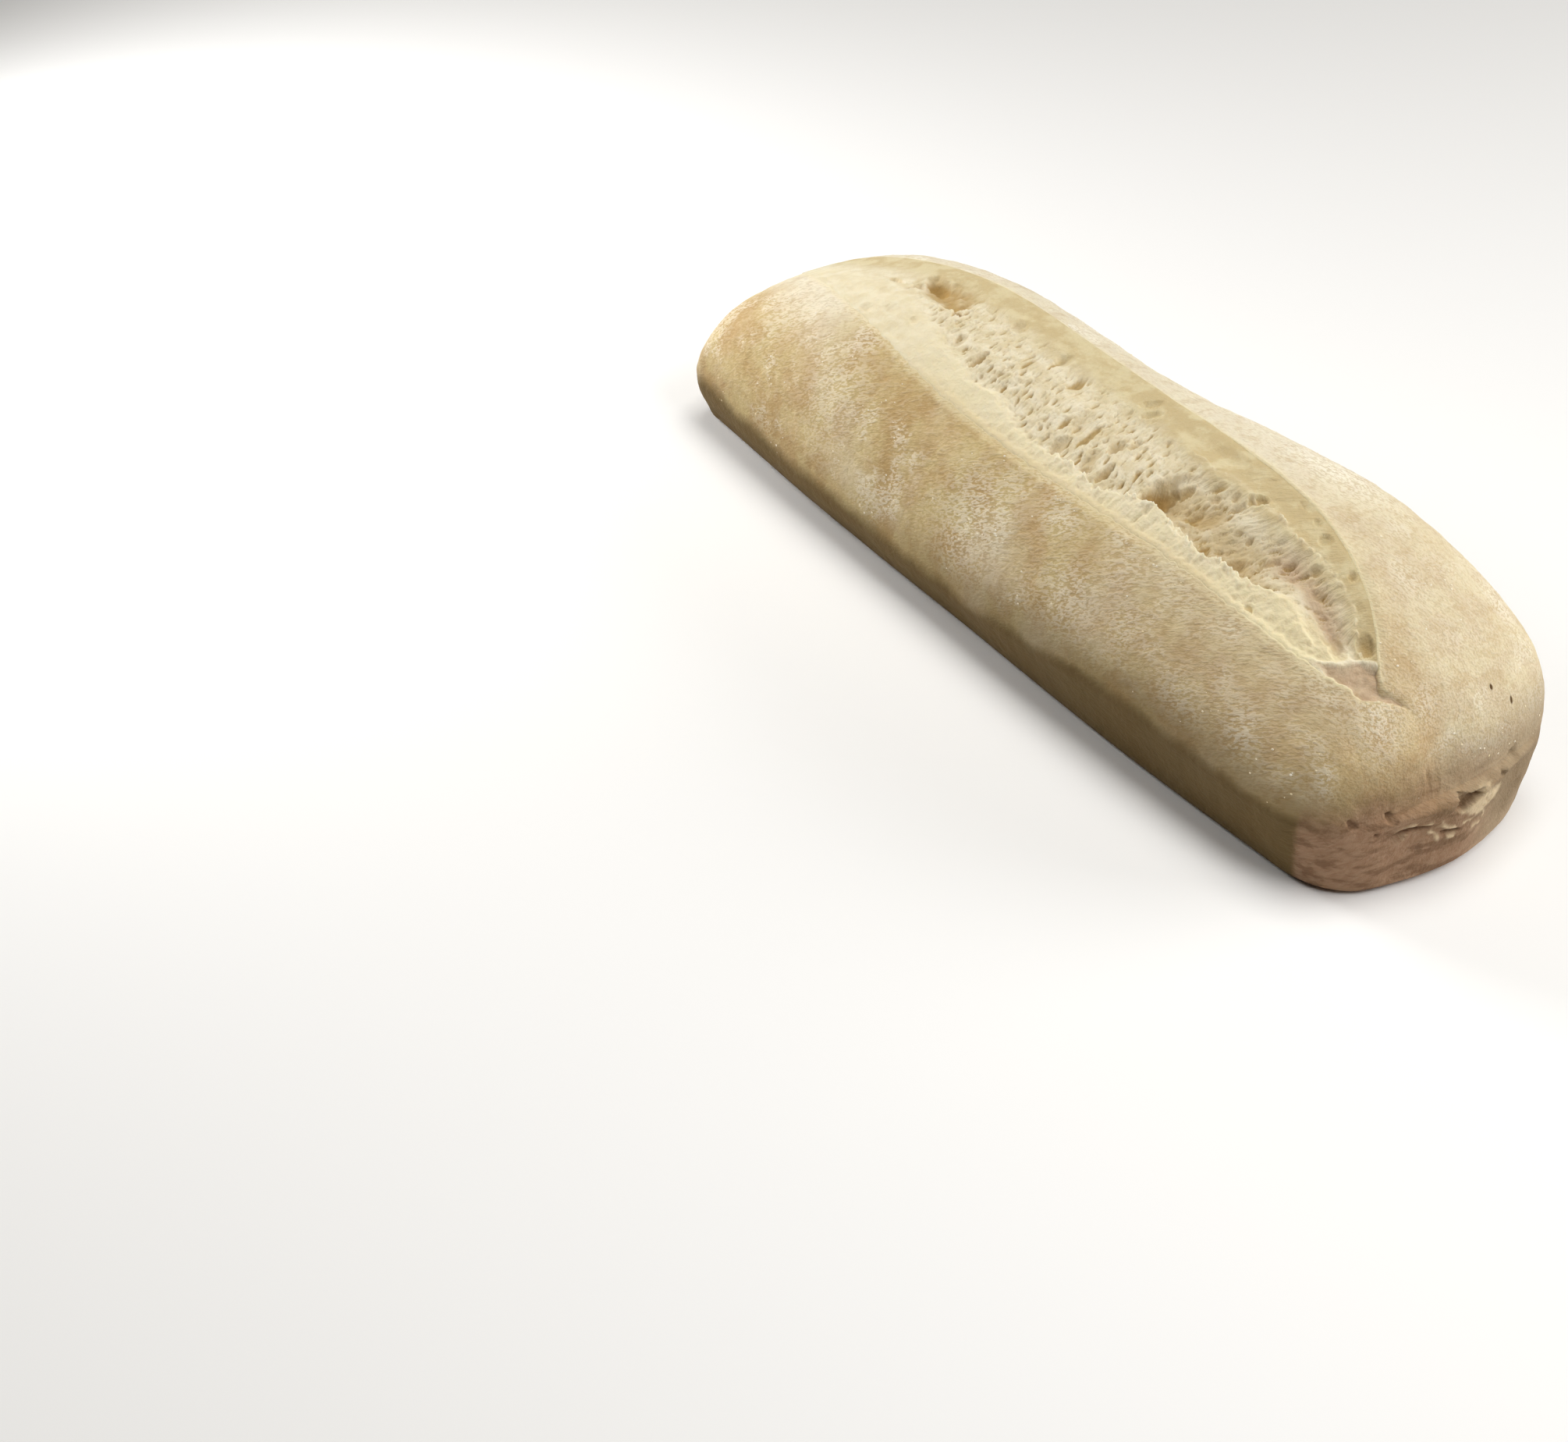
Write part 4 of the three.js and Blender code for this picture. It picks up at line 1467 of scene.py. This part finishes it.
        near = cells(1.0)
        own_depth = wire(Node.POWER, lot(near), 1.6)
        bowl = wire(Node.MULTIPLY, wire(Node.RAMP, near, 0.5, 0.12), own_depth)
        cell = wire(Node.MULTIPLY, bowl, inputs["Cell Depth"])
        shaft = wire(Node.RAMP, cells(0.52, "DISTANCE_TO_EDGE"), 0.05, 0.36)
        chosen = wire(Node.LESS_THAN, lot(cells(0.52), "Y"), inputs["Hole Share"])
        hole = wire(Node.MULTIPLY, wire(Node.MULTIPLY, shaft, chosen), inputs["Hole Depth"])
        pores = cells(2.3)
        own_depth = wire(Node.MULTIPLY, wire(Node.POWER, lot(pores), 2.0), inputs["Pore Depth"])
        pore = wire(Node.MULTIPLY, wire(Node.RAMP, pores, 0.45, 0.1), own_depth)
        fibre_place = wire(Node.STRETCH, place, (2.6, 0.7, 0.0))
        fibre = wire(Node.SUBTRACT, 0.5, wire(Node.NOISE, fibre_place, 1.0, 3.0, noise_dimensions="2D"))
        fibre = wire(Node.MULTIPLY, fibre, wire(Node.MULTIPLY, inputs["Fibre Height"], 2.0))
        total = wire(Node.ADD, wire(Node.ADD, cell, hole), wire(Node.ADD, pore, fibre))
        total = wire(Node.MULTIPLY, total, wire(Node.STORED, "crumb", data_type="FLOAT"))
        outward = wire(Node.STORED, "outward", data_type="FLOAT_VECTOR")
        offset = wire(Node.SCALE, outward, wire(Node.MULTIPLY, total, -1.0))
        in_mm = wire(Node.MULTIPLY, total, 1000.0)
        keep = wire(Node.STORE, inputs["Geometry"], "cell_depth", in_mm)
        real = wire(Node.REALIZE, wire(Node.MOVE, keep, offset))
        set_inputs(tree.nodes["Output"], {"Geometry": wire(Node.SET_MATERIAL, real, inputs["Finish"])})
        return tree

    def finish_piece(self, slab: bpy.types.Object) -> bpy.types.Object:
        """Presses the cells into the slab and dresses it.

        Args:
            slab: the slab from build.

        Returns:
            The finished crumb.
        """
        piece = run_tree(slab, self.cell_tree(), {
            "Cell Depth": self.cell_depth * MM,
            "Hole Depth": self.hole_depth * MM,
            "Hole Share": self.hole_share,
            "Pore Depth": self.pore_depth * MM,
            "Fibre Height": self.fibre_height * MM,
            "Finish": self.finish.make(),
        }, "torn_crumb")
        discard(slab)
        return piece


# Loose flour


@dataclass
class FlourClumps:
    """Tiny clumps of sifted flour that stuck to the crust."""

    finish: LooseFlour = field(default_factory=LooseFlour)
    per_square_metre: float = 150000.0
    size: float = 0.16
    seed: int = 7

    def tree(self) -> bpy.types.NodeTree:
        """Builds the tree that scatters the clumps.

        Returns:
            The tree.
        """
        tree = new_geometry_tree("flour_scatter", {
            "Clumps Per Square Metre": ("NodeSocketFloat", 1000.0),
            "Clump Size": ("NodeSocketFloat", 0.0002),
            "Seed": ("NodeSocketInt", 1),
            "Finish": ("NodeSocketMaterial", None),
        })
        wire = partial(add_node, tree)
        inputs = tree.nodes["Input"].outputs
        patch_noise = wire(Node.NOISE, wire(Node.POSITION), *lumps(FlouryCrust.patch_size, 4))
        patch = wire(Node.RAMP, patch_noise, 0.5, 0.64, 0.02, 1)
        share = wire(Node.MULTIPLY, wire(Node.STORED, "floured", data_type="FLOAT"), patch)
        density = wire(Node.MULTIPLY, share, inputs["Clumps Per Square Metre"])
        points = wire(Node.SCATTER, inputs["Geometry"], density, inputs["Seed"])
        clump = wire(Node.TRANSFORM, wire(Node.BALL, 1.0, 1), (1.3, 1.0, 0.55))
        scale = wire(Node.MULTIPLY, wire(Node.RANDOM, 0.35, 1.5, inputs["Seed"]), inputs["Clump Size"])
        placed = wire(Node.INSTANCE, points, clump, points.node.outputs["Rotation"], scale)
        real = wire(Node.REALIZE, placed)
        set_inputs(tree.nodes["Output"], {"Geometry": wire(Node.SET_MATERIAL, real, inputs["Finish"])})
        return tree

    def build(self, crust: bpy.types.Object) -> bpy.types.Object:
        """Scatters the clumps over the crust.

        Args:
            crust: the finished crust.

        Returns:
            The clumps, as one mesh.
        """
        return run_tree(crust, self.tree(), {
            "Clumps Per Square Metre": self.per_square_metre,
            "Clump Size": self.size * MM,
            "Seed": self.seed,
            "Finish": self.finish.make(),
        }, "flour_clumps")


# The studio


@dataclass(frozen=True)
class SoftBox:
    """A rectangular studio light: where it stands from the roll's middle, its size and its power."""

    name: str
    place: tuple[float, float, float]
    size: tuple[float, float]
    power: float
    colour: str = "#ffffff"


@dataclass
class Studio:
    """A pale floor, soft light from high behind the right flank, and the camera."""

    lens: float = 48.3
    azimuth: float = 53.9
    elevation: float = 38.5
    roll: float = 2.4
    distance: float = 386.0
    aim: tuple[float, float] = (5.6, -73.7)
    surround: float = 0.02
    paper: str = "#faf9f7"
    lights: tuple = (
        SoftBox("overhead", (-0.05, 0.1, 1.0), (0.6, 0.6), 5.4, "#fffdf9"),
        SoftBox("behind", (0.45, 0.8, 0.38), (0.7, 0.5), 5.4),
        SoftBox("far_fill", (-0.30, -0.16, 0.14), (0.12, 0.12), 0.8),
        SoftBox("near_fill", (0.26, 0.0, 0.30), (0.14, 0.14), 0.46),
    )

    def directions(self) -> tuple[Vector, Vector, Vector]:
        """Gives the camera's right, up and backward directions.

        Returns:
            The three directions.
        """
        a, e, r = (math.radians(v) for v in (self.azimuth, self.elevation, self.roll))
        back = Vector((math.sin(a) * math.cos(e), -math.cos(a) * math.cos(e), math.sin(e)))
        right = Vector((math.cos(a), math.sin(a), 0))
        up = back.cross(right)
        return right * math.cos(r) + up * math.sin(r), up * math.cos(r) - right * math.sin(r), back

    def add_camera(self) -> None:
        """Adds the camera and makes it the scene's."""
        right, up, back = self.directions()
        turn = Matrix((right, up, back)).transposed().to_4x4()
        place = Vector((*self.aim, 0)) * MM + back * self.distance * MM
        data = bpy.data.cameras.new("camera")
        data.lens = self.lens
        data.sensor_width = 36.0
        data.clip_start = 0.01
        camera = bpy.data.objects.new("camera", data)
        camera.matrix_world = Matrix.Translation(place) @ turn
        bpy.context.scene.collection.objects.link(camera)
        bpy.context.scene.camera = camera

    def add_lights(self, middle: Vector) -> None:
        """Adds the soft boxes, aimed at the roll's middle.

        Args:
            middle: the roll's middle.
        """
        for box in self.lights:
            data = bpy.data.lights.new(box.name, "AREA")
            data.shape = "RECTANGLE"
            data.size, data.size_y = box.size
            data.energy = box.power
            data.color = linear(box.colour)[:3]
            light = bpy.data.objects.new(box.name, data)
            place = middle + Vector(box.place)
            turn = (middle - place).to_track_quat("-Z", "Y").to_matrix().to_4x4()
            light.matrix_world = Matrix.Translation(place) @ turn
            bpy.context.scene.collection.objects.link(light)

    def add_floor(self) -> None:
        """Adds a wide pale floor."""
        size = 4.0
        corners = [(-size, -size, 0), (size, -size, 0), (size, size, 0), (-size, size, 0)]
        mesh = bpy.data.meshes.new("floor")
        mesh.from_pydata(corners, [], [(0, 1, 2, 3)])
        floor = bpy.data.objects.new("floor", mesh)
        bpy.context.scene.collection.objects.link(floor)
        material, _, shader = new_material("pale_paper")
        set_inputs(shader, {"Base Color": linear(self.paper), "Roughness": 0.9})
        mesh.materials.append(material)

    def set_world(self) -> None:
        """Sets an even white surround and a plain view transform."""
        scene = bpy.context.scene
        world = bpy.data.worlds.new("surround")
        world.use_nodes = True
        background = world.node_tree.nodes["Background"]
        set_inputs(background, {"Color": linear("#ffffff"), "Strength": self.surround})
        scene.world = world
        scene.view_settings.view_transform = "Standard"
        scene.view_settings.look = "None"

    def build(self, middle: Vector) -> None:
        """Builds the whole studio round the roll's middle.

        Args:
            middle: the roll's middle.
        """
        self.add_camera()
        self.add_lights(middle)
        self.add_floor()
        self.set_world()


# Putting it together


def declare(piece: bpy.types.Object, stands_for_node: bool) -> None:
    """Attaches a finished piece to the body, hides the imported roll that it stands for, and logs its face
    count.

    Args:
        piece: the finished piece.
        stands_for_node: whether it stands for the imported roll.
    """
    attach(piece, BODY)
    if stands_for_node:
        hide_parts(NODE)
    log.info("%s: %d faces", piece.name, len(piece.data.polygons))


def main() -> None:
    """Builds the roll and its studio."""
    low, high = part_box(NODE)
    form = DoughForm(length=(high.x - low.x) / MM)
    crust = RollCrust(form)
    skin = crust.build()
    skin.name = skin.data.name = "roll_crust"
    crust.roughen(skin)
    crust.dress(skin)
    crumb = TornCrumb(form)
    torn = crumb.finish_piece(crumb.build())
    flour = FlourClumps().build(skin)
    declare(skin, True)
    declare(torn, True)
    declare(flour, False)
    Studio().build((low + high) / 2)


if __name__ == "__main__":
    logging.basicConfig(level=logging.INFO, format="%(name)s: %(message)s")
    main()
